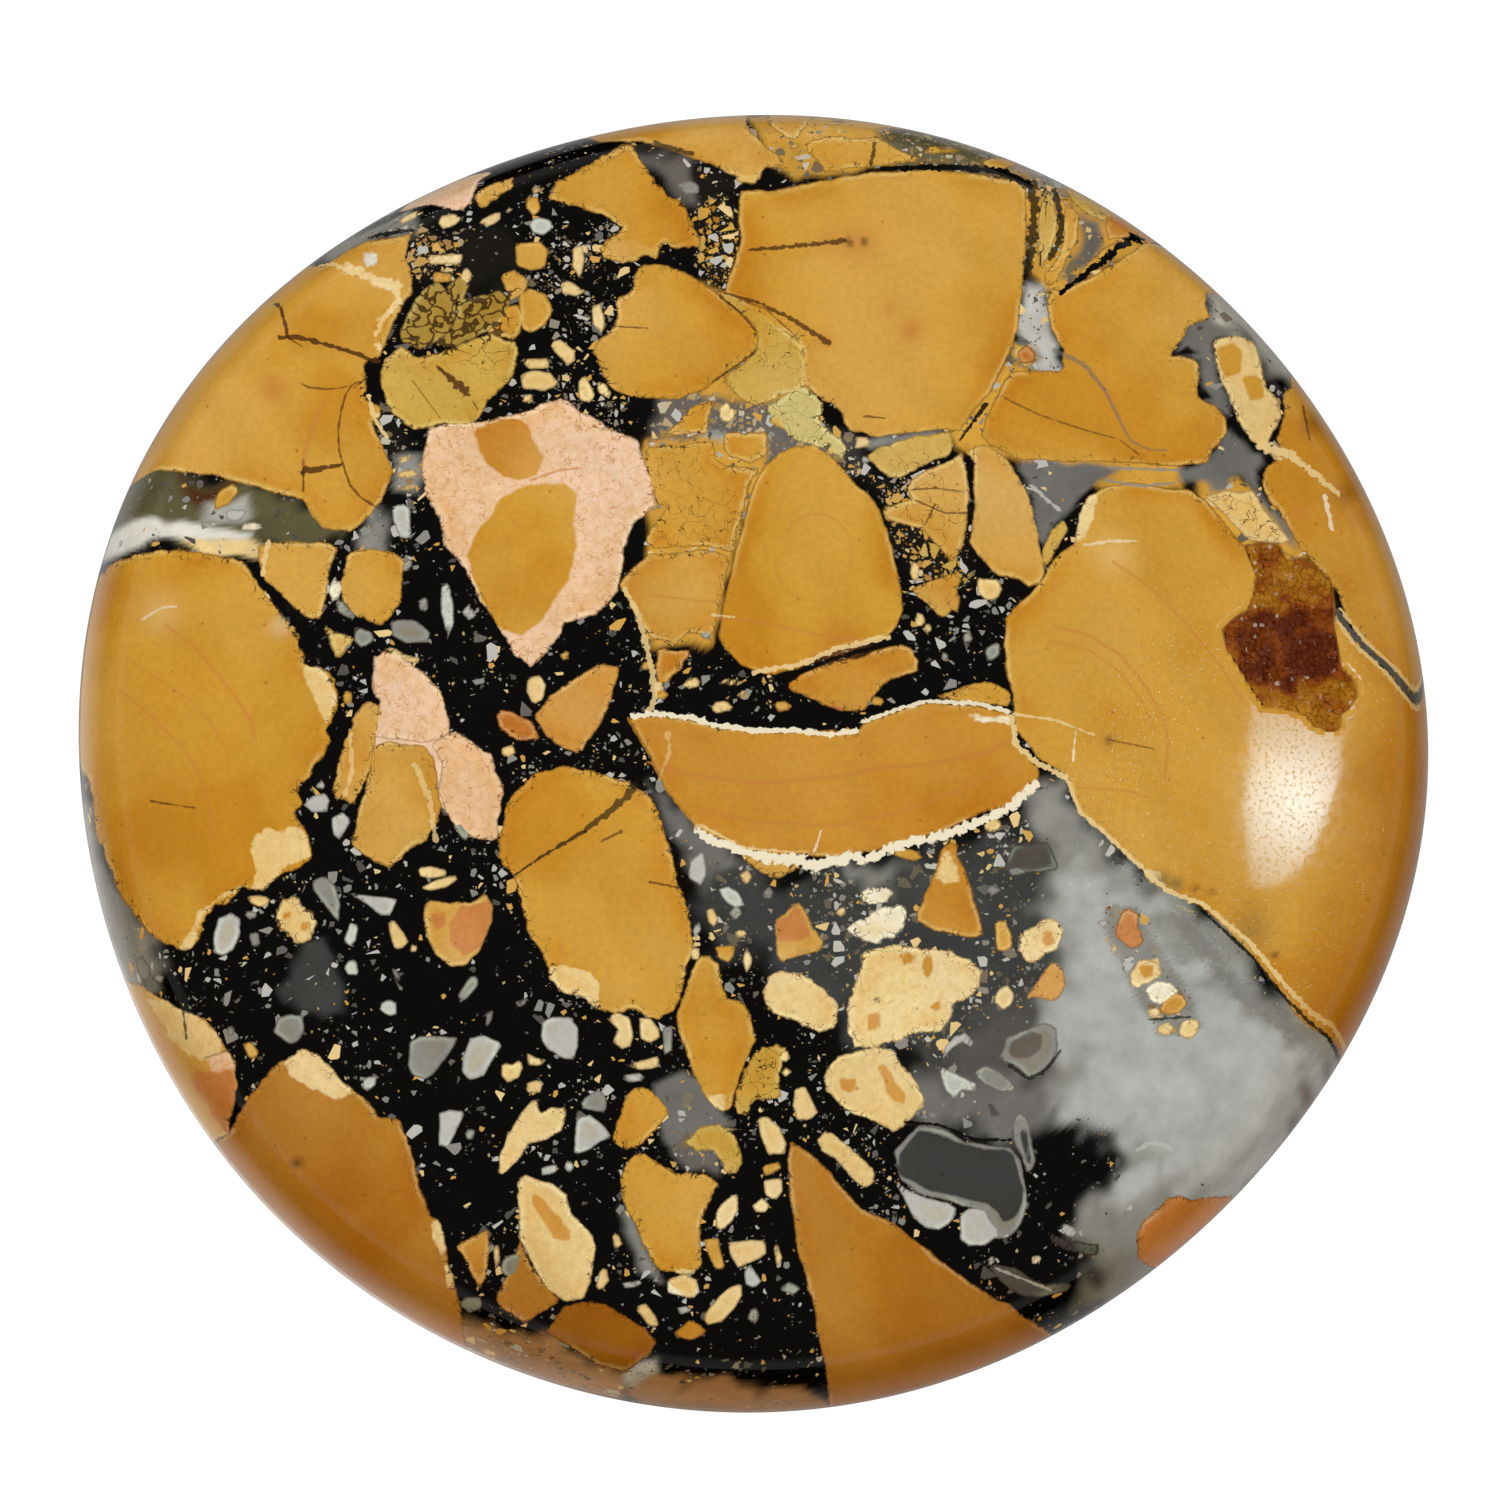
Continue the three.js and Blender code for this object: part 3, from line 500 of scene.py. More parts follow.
# %% Zones of the ground
ZONES = [
    # name, tone, feather, chips, crumbs, outline
    ("smoky top", "soot", 14, 0.9, 0.0, "464,227 54,0 0,61 -54,0"),
    ("top chips", "black", 8, 1.3, 0.12,
     "518,225 122,10 10,65 -40,80 40,45 -90,5 -20,-70 12,-60 -27,-10"),
    ("crumbs left", "soot", 10, 0.6, 0.8, "410,231 54,0 0,50 -54,0"),
    ("far top left", "grey", 8, 0.5, 0.1, "330,222 75,-17 7,27 -62,18 -25,5"),
    ("black net", "soot", 6, 0.9, 0.2, "378,404 22,1 10,50 -18,15 -12,-30"),
    ("cream stack", "grey", 5, 0.9, 0.6, "396,455 24,0 0,35 -24,0"),
    ("crumbs top", "soot", 8, 0.6, 1.0, "700,190 35,5 3,45 -5,45 -18,7 -15,-30 -10,-37"),
    ("quartz at the top", "taupe", 8, 0.5, 0.1, "632,143 58,22 10,40 -15,-5"),
    ("black at the top", "soot", 5, 1.0, 0.2, "692,168 28,0 25,12 -25,20 -18,5"),
    ("crumbs right of egg", "soot", 8, 0.7, 0.9,
     "850,460 40,20 20,5 45,-25 10,40 0,60 10,20 -35,10 -35,-20 -12,-40"),
    ("top crumb vein", "black", 5, 0.7, 0.5, "748,126 17,4 25,20 32,15 -7,11 -25,-4 -35,-32"),
    ("under the crushed", "taupe", 12, 0.8, 0.5,
     "655,400 65,-20 140,60 -10,30 -70,0 -40,10 -80,40 -20,-50"),
    ("light quartz left", "quartz", 4, 0.4, 0.0, "698,430 27,0 0,50 -13,2 -4,-32"),
    ("light quartz low", "quartz", 3, 0.3, 0.0, "727,464 33,-2 0,14 -33,2"),
    ("grey band", "grey", 4, 0.3, 0.0, "868,438 84,-7 -2,9 -80,7"),
    ("joined heart", "ochre", 4, 0.4, 0.2, "700,285 60,15 50,50 2,45 -52,10 -60,-13"),
    ("joined by the egg", "ochre", 4, 0.6, 0.2,
     "640,440 125,-4 0,34 -23,50 -7,40 -23,80 -62,10 -10,-50 10,-60"),
    ("joined top", "ochre", 4, 0.5, 0.2,
     "745,110 135,5 120,25 40,40 -10,2 -70,-17 -90,1 -70,14 -30,-20"),
    ("joined upper right", "ochre", 4, 0.4, 0.1,
     "1032,178 43,-10 85,57 -10,20 -40,17 -44,30 -20,-2 -16,-18 -4,-72"),
    ("joined right", "ochre", 4, 0.3, 0.1,
     "950,430 56,-65 56,7 48,68 70,15 2,37 -82,0 -38,-26 -77,-8 -30,-13"),
    ("joined far right", "ochre", 4, 0.3, 0.1, "1195,470 45,8 60,62 30,60 -40,-40 -50,-15 -40,-40"),
    ("olive band", "olive", 8, 0.3, 0.0, "100,470 48,-1 82,13 76,23 34,23 5,12 -105,8 -92,-8 -48,5"),
    ("olive dark", "umber", 10, 0.3, 0.0, "186,478 44,4 2,18 -42,2"),
    ("olive pale", "quartz", 6, 0.2, 0.0, "205,500 45,2 0,18 -44,0"),
    ("left quartz", "frost", 4, 0.2, 0.0, "92,546 16,-16 22,-9 50,0 34,4 36,10 0,6 -100,-3 -46,20"),
    ("speckled cream", "cream", 3, 0.9, 0.0, "180,538 70,2 12,6 -4,12 -26,-2 -32,-4"),
    ("left grey", "grey", 8, 0.3, 0.0, "367,515 20,0 0,35 -20,0"),
    ("left rim grey", "grey", 9, 0.6, 0.1, "60,790 32,22 33,83 25,45 10,45 -30,5 -40,-90"),
    ("top edge yellow", "light", 6, 0.3, 0.2, "807,110 77,0 0,27 -77,0"),
    ("top edge green", "olive", 10, 0.5, 0.4, "880,120 120,0 10,50 -110,2"),
    ("top edge grey", "grey", 10, 0.5, 0.2, "1000,140 70,10 -10,40 -47,-10"),
    ("taupe wedge right", "taupe", 5, 0.5, 0.2, "1080,218 20,4 3,23 -35,35 -8,-5 22,-35"),
    ("frost upper right", "pale", 6, 0.9, 0.1,
     "1028,285 14,0 13,25 -5,15 8,15 -6,15 8,17 -20,0 -10,-10 8,-10 -18,-22"),
    ("olive blob", "mustard", 4, 0.6, 0.4, "1013,345 17,-2 6,13 -8,10 -14,-4"),
    ("right rim grey", "quartz", 12, 0.3, 0.1, "1207,296 33,-34 60,58 10,42 -22,20 -56,-48 -20,-4"),
    ("right vein", "flint", 3, 0.35, 0.0,
     "1188,325 23,-5 19,10 -17,10 -1,12 4,20 14,30 -2,16 -6,-10 -19,-8 -5,-39 -23,-6"),
    ("right vein low", "flint", 3, 0.35, 0.0,
     "1228,430 24,22 10,3 3,10 -7,5 2,20 32,43 3,15 -10,-8 -40,-65 -15,3 -2,10 -13,2 -10,-10 -27,3 "
     "-2,-15 19,0 15,-8"),
    ("vein black a", "black", 2, 0.2, 0.0, "1173,356 13,-10 12,8 -8,3"),
    ("vein black b", "black", 2, 0.2, 0.0, "1197,388 9,2 6,9 -11,0"),
    ("chalcedony", "flint", 3, 0.45, 0.0,
     "1018,465 17,-6 85,9 -40,27 -5,15 -20,16 -10,19 -7,-5 -5,-40"),
    ("smoky left", "slate", 6, 0.3, 0.0, "310,945 15,0 10,15 5,55 -15,5 -45,-20 -5,-10 15,-10"),
    ("taupe wedge", "flint", 3, 0.4, 0.1, "655,1085 30,-13 17,8 33,48 -61,22 -12,-10"),
    ("mustard grey", "taupe", 4, 0.4, 0.2, "672,1138 32,-4 16,16 0,24 -30,-2 -18,-20"),
    ("grey column", "grey", 5, 0.4, 0.1, "620,1205 10,10 10,25 25,40 -20,-5 -23,-45"),
    ("joined pink", "pink", 3, 0.05, 0.0,
     "358,738 27,-12 67,12 10,22 -4,40 -10,12 -10,-12 -4,-38 -14,-10 -48,2"),
    ("beside the ovoid", "flint", 9, 0.5, 0.0,
     "655,785 35,43 45,24 23,26 -13,18 -30,-8 -25,-26 -22,-32"),
    ("grey under the boat", "grey", 9, 0.5, 0.0, "840,866 85,-4 0,18 -20,15 -60,-3"),
    ("grey by the triangle", "grey", 8, 0.4, 0.0, "905,920 35,5 35,15 -25,10 -45,-8"),
    ("smoky middle", "smoke", 16, 0.4, 0.0, "940,985 100,-25 35,40 -5,100 -70,5 -60,-15 -25,-50"),
    ("flint field", "flint", 14, 0.3, 0.0, "900,1085 60,-7 120,2 2,30 -42,25 -40,3 -95,-20"),
    ("beside the boat", "slate", 18, 0.8, 0.1,
     "740,868 60,12 60,0 170,-55 25,37 0,38 -10,60 -45,50 -60,50 -35,0 -145,-100 -45,-10 -25,-50"),
    ("cloud", "grey", 16, 0.04, 0.0,
     "1035,800 27,-20 38,55 50,50 60,30 65,65 85,65 -15,85 -45,60 -60,70 -100,70 -50,-30 -4,-50 "
     "6,-55 28,-37 -15,-30 -55,-10 -4,-68 6,-50 -4,-70 2,-60"),
    ("cloud middle", "cloud", 22, 0.0, 0.0,
     "1075,880 45,-10 60,70 60,45 105,90 -45,105 -80,30 -130,-90 -25,-80"),
    ("cloud streak", "grey", 12, 0.0, 0.0, "1165,905 25,20 50,60 60,45 -10,15 -65,-45 -55,-60"),
    ("black smear", "black", 14, 0.2, 0.0,
     "1040,1152 22,-14 38,-7 18,21 -40,16 0,67 -12,40 -21,43 -45,-18 0,-55 32,-15"),
    ("wisp", "cloud", 9, 0.0, 0.0, "1120,1175 20,-10 20,7 -2,18 -28,15 -18,-5"),
    ("bead bed", "grey", 3, 0.3, 0.25, "1104,905 30,-2 56,87 14,40 -44,6 -32,-51 -22,-55"),
    ("foot grey", "fawn", 8, 0.4, 0.2,
     "395,1300 45,10 30,15 50,5 80,35 25,5 -5,40 -60,-10 -120,-45 -60,-35"),
    ("foot pale", "pale", 5, 0.3, 0.1, "625,1364 35,-2 4,22 -24,4 -18,-4"),
    ("foot brown", "fawn", 4, 0.1, 0.0, "625,1390 35,-15 40,0 90,15 40,12 0,28 -180,-15"),
    ("rim brown", "char", 9, 0.1, 0.0,
     "1120,1322 55,-50 47,-50 40,-50 34,-54 30,-58 26,10 -20,60 -45,72 -50,62 -50,46 -47,30"),
    ("clean black a", "black", 12, 0.25, 0.0,
     "345,1000 55,-60 120,5 5,70 -25,20 30,65 -20,200 -30,-65 -50,-55 -80,-120"),
    ("clean black b", "black", 12, 0.3, 0.0, "660,1300 50,40 90,-50 26,95 -161,-15"),
]
print(len(ZONES), "zones")

# Where a net of fine cracks runs through the pieces: strength, outline
CRACKLED = [
    (2.4, "398,345 14,-45 28,-20 80,5 -5,25 -15,28 -55,17"),
    (0.7, "440,345 60,-10 20,10 -30,30 -35,-10"),
    (0.25, "388,350 157,-20 -32,51 -38,41 -85,-7"),
    (0.5, "649,515 13,-13 83,-26 -10,64 -86,5"),
    (0.5, "646,448 57,0 7,19 -10,25 -38,10"),
    (0.5, "727,285 59,32 42,25 -26,37 -45,-11"),
    (0.4, "767,390 55,10 28,50 -50,-5 -35,-35"),
    (0.5, "863,463 92,-23 10,75 -50,100 -30,-105"),
    (0.6, "1107,221 58,4 -41,45 -64,15 12,-33"),
    (0.7, "1217,485 23,0 60,60 -60,0"),
    (0.6, "738,1050 52,-5 -5,65 -47,5"),
]

# %% [markdown]
# ## Veins, threads and growth rings
# Dark veins and pale threads cross the pieces. Each is a run of points with a tone, a half width at its
# start and at its end, and a strength. The faint rings inside the largest pieces are the same thing,
# thin and weak. Two faint milk strokes are painted reflection, a sheen on the shoulders.

# %% Drawn lines
DRAWN_LINES = [
    # tone, half width at start, at end, strength, points
    ("umber", 1.8, 1.8, 0.9, "275,296 5,10 7,25 0,5"),
    ("umber", 2.2, 2.0, 0.9, "280,338 20,-1 52,15 20,8 9,2"),
    ("umber", 1.0, 0.8, 0.7, "287,337 16,10"),
    ("umber", 1.0, 0.9, 0.7, "300,383 8,4 17,2 15,-1 8,-2"),
    ("umber", 1.1, 0.9, 0.7, "347,392 5,-8 10,-3"),
    ("rust", 2.0, 2.0, 0.5, "325,400 -10,20 -9,25 -3,20"),
    ("umber", 1.4, 1.2, 0.8, "303,460 0,30"),
    ("umber", 4.0, 1.0, 0.9, "303,471 40,-6"),
    ("umber", 1.1, 1.1, 0.75, "346,393 -5,17 -3,20 1,20 5,18 6,17 10,12 21,13"),
    ("black", 5.0, 4.0, 1.0, "372,362 -1,22 -3,16"),
    ("black", 2.0, 2.0, 1.0, "415,207 25,2 22,4"),
    ("black", 2.5, 2.0, 0.9, "370,236 42,-6"),
    ("umber", 1.0, 5.0, 0.9, "437,366 28,26"),
    ("umber", 1.0, 0.8, 0.7, "472,400 6,10"),
    ("umber", 0.9, 0.7, 0.5, "412,380 28,38"),
    ("umber", 1.2, 1.2, 0.8, "720,296 20,16 17,20"),
    ("umber", 1.2, 1.2, 0.7, "757,350 -22,17 -23,15"),
    ("umber", 1.0, 2.8, 0.85, "725,293 35,10 30,15 25,15 13,10"),
    ("umber", 0.9, 0.9, 0.6, "740,300 25,8 35,32"),
    ("umber", 1.6, 2.4, 0.85, "749,250 96,-9"),
    ("umber", 1.2, 0.8, 0.7, "863,416 22,2"),
    ("soot", 2.5, 2.0, 0.8, "655,143 37,11"),
    ("soot", 2.0, 1.5, 0.8, "875,143 -4,22"),
    ("black", 2.0, 4.0, 1.0, "880,168 80,-1 40,4 30,14"),
    ("soot", 5.0, 4.5, 0.9, "1033,185 2,30 -7,55"),
    ("soot", 3.0, 3.0, 0.9, "1055,192 6,23 -1,25 -10,18"),
    ("black", 4.0, 2.5, 1.0, "1142,238 -10,-1 -42,34 -28,21"),
    ("black", 2.5, 1.0, 0.95, "985,405 -25,35"),
    ("umber", 1.0, 0.9, 0.6, "1005,398 35,17 45,15 30,8"),
    ("taupe", 2.4, 2.0, 0.55, "1055,350 30,15 20,25"),
    ("taupe", 2.0, 0.8, 0.5, "1105,390 25,50 20,10 18,0"),
    ("grey", 1.4, 1.2, 0.8, "1110,468 68,2"),
    ("grey", 1.4, 1.2, 0.8, "1105,480 35,6 35,-3"),
    ("rust", 1.5, 1.5, 0.45, "715,618 35,2 80,17 40,3"),
    ("rust", 1.4, 1.2, 0.5, "650,595 40,5 32,2"),
    ("cream", 1.4, 1.2, 0.7, "713,615 22,2"),
    ("cream", 2.6, 2.6, 0.85, "755,672 45,-8 35,-15 53,-12"),
    ("black", 1.6, 2.2, 0.95, "765,680 35,-8 30,-12 62,-18"),
    ("umber", 1.0, 0.8, 0.7, "910,490 25,-2 30,4"),
    ("umber", 1.0, 0.8, 0.7, "915,500 30,13 22,0"),
    ("umber", 1.1, 0.9, 0.7, "935,505 -10,20"),
    ("cream", 2.4, 3.0, 0.75, "625,590 12,22 8,28 7,30 3,30 -7,12"),
    ("cream", 2.5, 2.0, 0.85, "268,540 -6,35"),
    ("black", 1.0, 4.0, 1.0, "258,578 22,27"),
    ("black", 4.0, 8.0, 1.0, "280,605 20,20"),
    ("black", 8.0, 13.0, 1.0, "300,625 15,20"),
    ("umber", 1.1, 0.9, 0.7, "150,801 45,7"),
    ("soot", 4.0, 2.2, 0.8, "636,785 -14,15 -16,14 -22,17"),
    ("soot", 2.2, 0.9, 0.85, "584,831 -49,30 -23,16"),
    ("umber", 1.6, 0.9, 0.7, "622,831 -22,11"),
    ("umber", 1.2, 1.0, 0.7, "650,882 30,6"),
    ("umber", 0.9, 0.7, 0.6, "1105,739 50,10"),
    ("umber", 0.8, 0.8, 0.7, "610,326 38,2"),
    ("cream", 2.4, 2.0, 0.85, "320,257 25,13 55,15"),
    ("cream", 2.2, 1.6, 0.9, "368,396 7,24 12,18"),
    ("cream", 5.0, 2.0, 0.95, "1262,445 28,10 20,15 30,25"),
    ("milk", 2.0, 1.6, 0.85, "1325,496 7,34"),
    ("umber", 1.2, 1.0, 0.7, "1303,405 7,35"),
    ("cream", 1.2, 1.0, 0.8, "1013,714 43,6 38,15"),
    ("cream", 2.2, 1.2, 0.45, "667,733 3,17 -11,30"),
    ("milk", 1.4, 0.8, 0.7, "815,851 7,-23"),
    ("milk", 1.0, 0.8, 0.8, "1073,760 3,-30"),
    ("shade", 1.6, 1.6, 0.6, "628,718 22,37 17,35 23,27 7,13"),
    ("milk", 3.8, 5.4, 1.0, "697,830 13,10 20,5 15,7 25,6 30,2"),
    ("milk", 5.4, 4.4, 1.0, "800,860 15,8 10,-6 15,-2 10,-5 15,5 15,-5 10,-7 15,-5"),
    ("milk", 4.4, 4.2, 1.0, "905,843 30,-5 45,-16 32,-16 24,-22"),
    ("cream", 1.2, 1.2, 0.8, "700,825 45,23 45,4"),
    ("milk", 2.8, 2.4, 0.95, "632,716 28,-2 27,3 29,8 39,6 38,-1 37,4 26,-3"),
    ("milk", 1.8, 2.2, 0.9, "862,722 33,-12 31,-9 54,3 30,8"),
    ("cream", 2.6, 2.6, 0.9, "1012,716 4,29 24,20 26,12"),
    ("cream", 1.8, 2.2, 0.85, "1066,777 14,35 28,24 59,55 35,12"),
    ("cream", 2.2, 2.6, 0.85, "1202,903 48,39 29,36 32,34 31,21"),
    ("black", 1.4, 2.0, 0.9, "1204,912 46,42 30,38 31,32 29,22"),
    ("smoke", 3.6, 4.2, 1.0, "1337,612 23,31 31,27 35,44"),
    ("cream", 1.5, 1.7, 0.8, "1341,609 23,31 31,27 35,43"),
    ("cream", 1.5, 1.7, 0.8, "1333,615 23,31 31,27 35,45"),
    ("black", 1.2, 1.0, 0.8, "183,1010 3,30"),
    ("olive", 1.2, 1.2, 0.5, "205,1058 25,-8"),
    ("pale", 2.0, 2.0, 0.8, "1138,1150 12,-7 15,2 10,7"),
    ("black", 1.5, 1.5, 0.95, "905,1122 35,3 35,15 35,0"),
    ("soot", 1.8, 1.6, 0.8, "1010,1065 18,14 17,-8 16,-21"),
    ("pale", 1.2, 1.2, 0.7, "995,1268 55,22"),
    ("soot", 1.4, 1.2, 0.8, "1148,1020 42,-3"),
    ("smoke", 8.0, 10.0, 0.25, "1180,920 50,60 90,70"),
    ("pale", 2.0, 1.5, 0.8, "1030,485 30,25"),
    ("cream", 3.0, 2.5, 0.6, "415,765 15,35 5,40"),
    ("cream", 2.0, 2.0, 0.6, "350,735 2,35 -7,25"),
    ("rust", 1.4, 1.2, 0.6, "530,480 30,-10 20,-2"),
    ("umber", 1.0, 0.8, 0.6, "1140,455 -20,-15"),
    ("rust", 1.6, 1.6, 0.5, "165,625 27,20 18,20 25,32 15,23 5,20"),
    ("rust", 1.5, 1.5, 0.45, "120,690 30,25 30,30 20,30 10,35 2,30"),
    ("rust", 1.3, 1.3, 0.35, "130,660 60,40 22,24 14,26 6,50"),
    ("rust", 1.6, 1.6, 0.5, "1053,626 33,8 35,21 25,32 17,29 6,28 -5,36"),
    ("rust", 1.6, 1.6, 0.45, "1114,562 36,25 36,36 35,43 22,35"),
    ("rust", 1.3, 1.3, 0.4, "1048,640 42,10 30,22 23,30 12,28"),
    ("rust", 1.4, 1.4, 0.4, "1075,787 54,4 21,7"),
    # painted reflection: the next two faint milk strokes stand in for the sheen on the right and left
    # shoulders
    ("milk", 1.6, 1.2, 0.5, "1085,545 25,-4 26,0"),
    ("milk", 1.3, 1.0, 0.45, "142,620 18,-12 18,-2"),
    ("rust", 2.2, 2.2, 0.6, "648,762 42,13 70,8 70,-5 50,-10 50,-4 60,-12 18,-12"),
    ("rust", 1.8, 1.8, 0.5, "700,812 60,10 70,4 70,-14 60,-22 45,-20"),
    ("rust", 1.4, 1.0, 0.35, "788,532 7,-12 13,-6 16,0 14,7 10,12 5,15 -1,17 -7,15"),
    ("rust", 1.4, 1.0, 0.3, "775,560 3,18 10,14 16,8 20,2 18,-6"),
]
print(len(DRAWN_LINES), "lines")

# %% [markdown]
# ## Stains and painted sheen
# Iron has left a few soft round stains, and some dark green-black spots. Two soft cream spots among
# them are painted reflection, the sheen of a faint light on the left and right shoulders. Towards the
# lower and right rim the whole stone is darker and browner, partly its own tone and partly painted
# shade, which is laid on later.

# %% Stains, and two spots of painted sheen
STAINS_AND_SHEEN = [
    # tone, radius, strength, place
    ("rust", 13, 0.7, "273,390"),
    ("umber", 5, 0.8, "297,1163"),
    ("rust", 11, 0.8, "911,331"),
    ("umber", 4, 0.4, "911,330"),
    ("rust", 9, 0.4, "890,308"),
    ("rust", 8, 0.7, "824,340"),
    ("rust", 20, 0.5, "858,242"),
    ("rust", 16, 0.4, "832,240"),
    ("umber", 6, 0.8, "850,242"),
    ("umber", 6, 0.8, "864,241"),
    ("baked", 13, 0.85, "1313,424"),
    ("baked", 14, 0.8, "1347,494"),
    ("rust", 13, 0.8, "1120,223"),
    ("rust", 13, 0.6, "1360,515"),
    ("rust", 7, 0.6, "1300,512"),
    ("rust", 8, 0.6, "1310,1010"),
    ("rust", 22, 0.3, "838,645"),
    ("umber", 5, 0.6, "1109,740"),
    ("olive", 10, 0.7, "1162,881"),
    ("olive", 7, 0.7, "1176,884"),
    ("umber", 3, 0.8, "1195,888"),
    ("umber", 3, 0.8, "1212,892"),
    ("umber", 4, 0.8, "1275,955"),
    ("olive", 20, 0.35, "1252,930"),
    # painted reflection: the next two soft cream spots stand in for a faint light's sheen on the
    # shoulders
    ("cream", 22, 0.35, "160,612"),
    ("cream", 20, 0.35, "1115,556"),
    ("milk", 10, 0.3, "280,626"),
]
print(len(STAINS_AND_SHEEN), "stains")

# %% [markdown]
# ## The shape
# In section the stone has a flat back with a small bevel, a wall that leans inward, a rounded
# edge and a low dome. The wall is faintly rounded, as a hand-held grinding wheel leaves it: its
# foot mirrors the table and its top doesn't, so the pale sheen in the photo fades upward. The
# outline from above is a circle with five gentle swellings.

# %% The section, in millimetres
MEAN_RADIUS = 19.63
THICKNESS = 7.0
BACK_BEVEL = 0.45
WALL_FOOT_LEAN = math.radians(6.0)
WALL_ROUND = 8.5
EDGE_ROUND = 1.3
DOME_RADIUS = 52.0
SWELLINGS = [(1, 0.17, 110.0), (2, 0.32, 10.7), (3, 0.165, 24.6), (4, 0.08, -15.6), (5, 0.07, 1.4)]


def toward(angle):
    """One step in the section's plane, at an angle above the horizontal."""
    return np.array([math.cos(angle), math.sin(angle)])


wall_centre = np.array([MEAN_RADIUS, BACK_BEVEL]) - WALL_ROUND * toward(WALL_FOOT_LEAN)
dome_centre = np.array([0.0, THICKNESS - DOME_RADIUS])
apart = wall_centre - dome_centre
gap = math.hypot(*apart)
apart /= gap
along = (gap ** 2 + (DOME_RADIUS - EDGE_ROUND) ** 2 - (WALL_ROUND - EDGE_ROUND) ** 2) / (2 * gap)
aside = math.sqrt((DOME_RADIUS - EDGE_ROUND) ** 2 - along ** 2)
edge_centre = dome_centre + along * apart + aside * np.array([apart[1], -apart[0]])
wall_top_lean = math.atan2(*(edge_centre - wall_centre)[::-1])
meeting = math.atan2(*(edge_centre - dome_centre)[::-1])
print("the wall leans from 6 to", round(math.degrees(wall_top_lean), 1), "degrees")


def dome_height(places):
    """The dome's height above any place seen from above."""
    flat = np.minimum((places[:, :2] ** 2).sum(axis=1), (DOME_RADIUS - 1) ** 2)
    return np.sqrt(DOME_RADIUS ** 2 - flat) + dome_centre[1]


def outline_scale(directions):
    """How much wider than the mean circle the stone is in each direction."""
    swell = sum(size * np.cos(lobes * (directions - math.radians(crest)))
                for lobes, size, crest in SWELLINGS)
    return 1 + swell / MEAN_RADIUS

# %% [markdown]
# ## One closed skin, fine on top
# The skin starts as a square grid, whose boundary is extruded ring by ring for the edge, the
# wall and the bevel. A second, coarser grid closes the back, and the two loops are bridged. That
# grid faces up like the first, so the normals are worked out anew and all point outwards. The
# skin is then pulled round: a square grid has no pole, so its points are about equally far apart
# everywhere, which is what the drawn markings need.

# %% Build the skin as a square
TOP_STEPS = 264
BACK_STEPS = 88
BACK_GRID_SHARE = 0.998
EDGE_RINGS = 6
WALL_RINGS = 7
RINGS = EDGE_RINGS + WALL_RINGS + 1

skin = bmesh.new()
bmesh.ops.create_grid(skin, x_segments=TOP_STEPS, y_segments=TOP_STEPS, size=1.0)
rim_edges = [edge for edge in skin.edges if edge.is_boundary]
print("top grid", len(skin.faces), "faces,", len(rim_edges), "edges round it")
for ring in range(RINGS):
    grown = bmesh.ops.extrude_edge_only(skin, edges=rim_edges)["geom"]
    ring_verts = [part for part in grown if isinstance(part, bmesh.types.BMVert)]
    rim_edges = [part for part in grown if isinstance(part, bmesh.types.BMEdge) and part.is_boundary]
    bmesh.ops.translate(skin, verts=ring_verts, vec=(0, 0, -1))
back = bmesh.ops.create_grid(
    skin, x_segments=BACK_STEPS, y_segments=BACK_STEPS, size=1.0,
    matrix=Matrix.Translation((0, 0, -RINGS - 1)))
back_set = set(back["verts"])
back_edges = [edge for edge in skin.edges
              if edge.is_boundary and edge.verts[0] in back_set and edge.verts[1] in back_set]
bmesh.ops.bridge_loops(skin, edges=rim_edges + back_edges)
bmesh.ops.recalc_face_normals(skin, faces=skin.faces)
print("closed:", all(edge.is_manifold for edge in skin.edges),
      "and facing one way:", all(edge.is_contiguous for edge in skin.edges))


def mesh_of(shape, name):
    """Turns a finished bmesh into a mesh and lets the bmesh go."""
    mesh = bpy.data.meshes.new(name)
    shape.to_mesh(mesh)
    shape.free()
    return mesh


stone_mesh = mesh_of(skin, "polished_stone")

# %% Pull the square skin round
def points_of(mesh):
    """The places of a mesh's vertices, one row each."""
    places = np.empty(len(mesh.vertices) * 3)
    mesh.vertices.foreach_get("co", places)
    return places.reshape(-1, 3)


def round_off(flat):
    """Radius share and direction in a disc, for points of a square."""
    wide = np.abs(flat[:, 0]) > np.abs(flat[:, 1])
    lead = np.where(wide, flat[:, 0], flat[:, 1])
    other = np.where(wide, flat[:, 1], flat[:, 0])
    turn = math.pi / 4 * other / np.where(np.abs(lead) < 1e-9, 1.0, lead)
    direction = np.where(wide, turn, math.pi / 2 - turn) + np.where(lead < 0, math.pi, 0)
    return np.abs(lead), direction


square = points_of(stone_mesh)
count = len(square)
share, direction = round_off(square[:, :2])
ring = np.round(-square[:, 2]).astype(int)
dome_turn = np.pi / 2 - (np.pi / 2 - meeting) * share
radius = DOME_RADIUS * np.cos(dome_turn)
height = DOME_RADIUS * np.sin(dome_turn) + dome_centre[1]

edge_turn = meeting + (wall_top_lean - meeting) * ring / EDGE_RINGS
on_edge = (ring > 0) & (ring <= EDGE_RINGS)
radius = np.where(on_edge, edge_centre[0] + EDGE_ROUND * np.cos(edge_turn), radius)
height = np.where(on_edge, edge_centre[1] + EDGE_ROUND * np.sin(edge_turn), height)

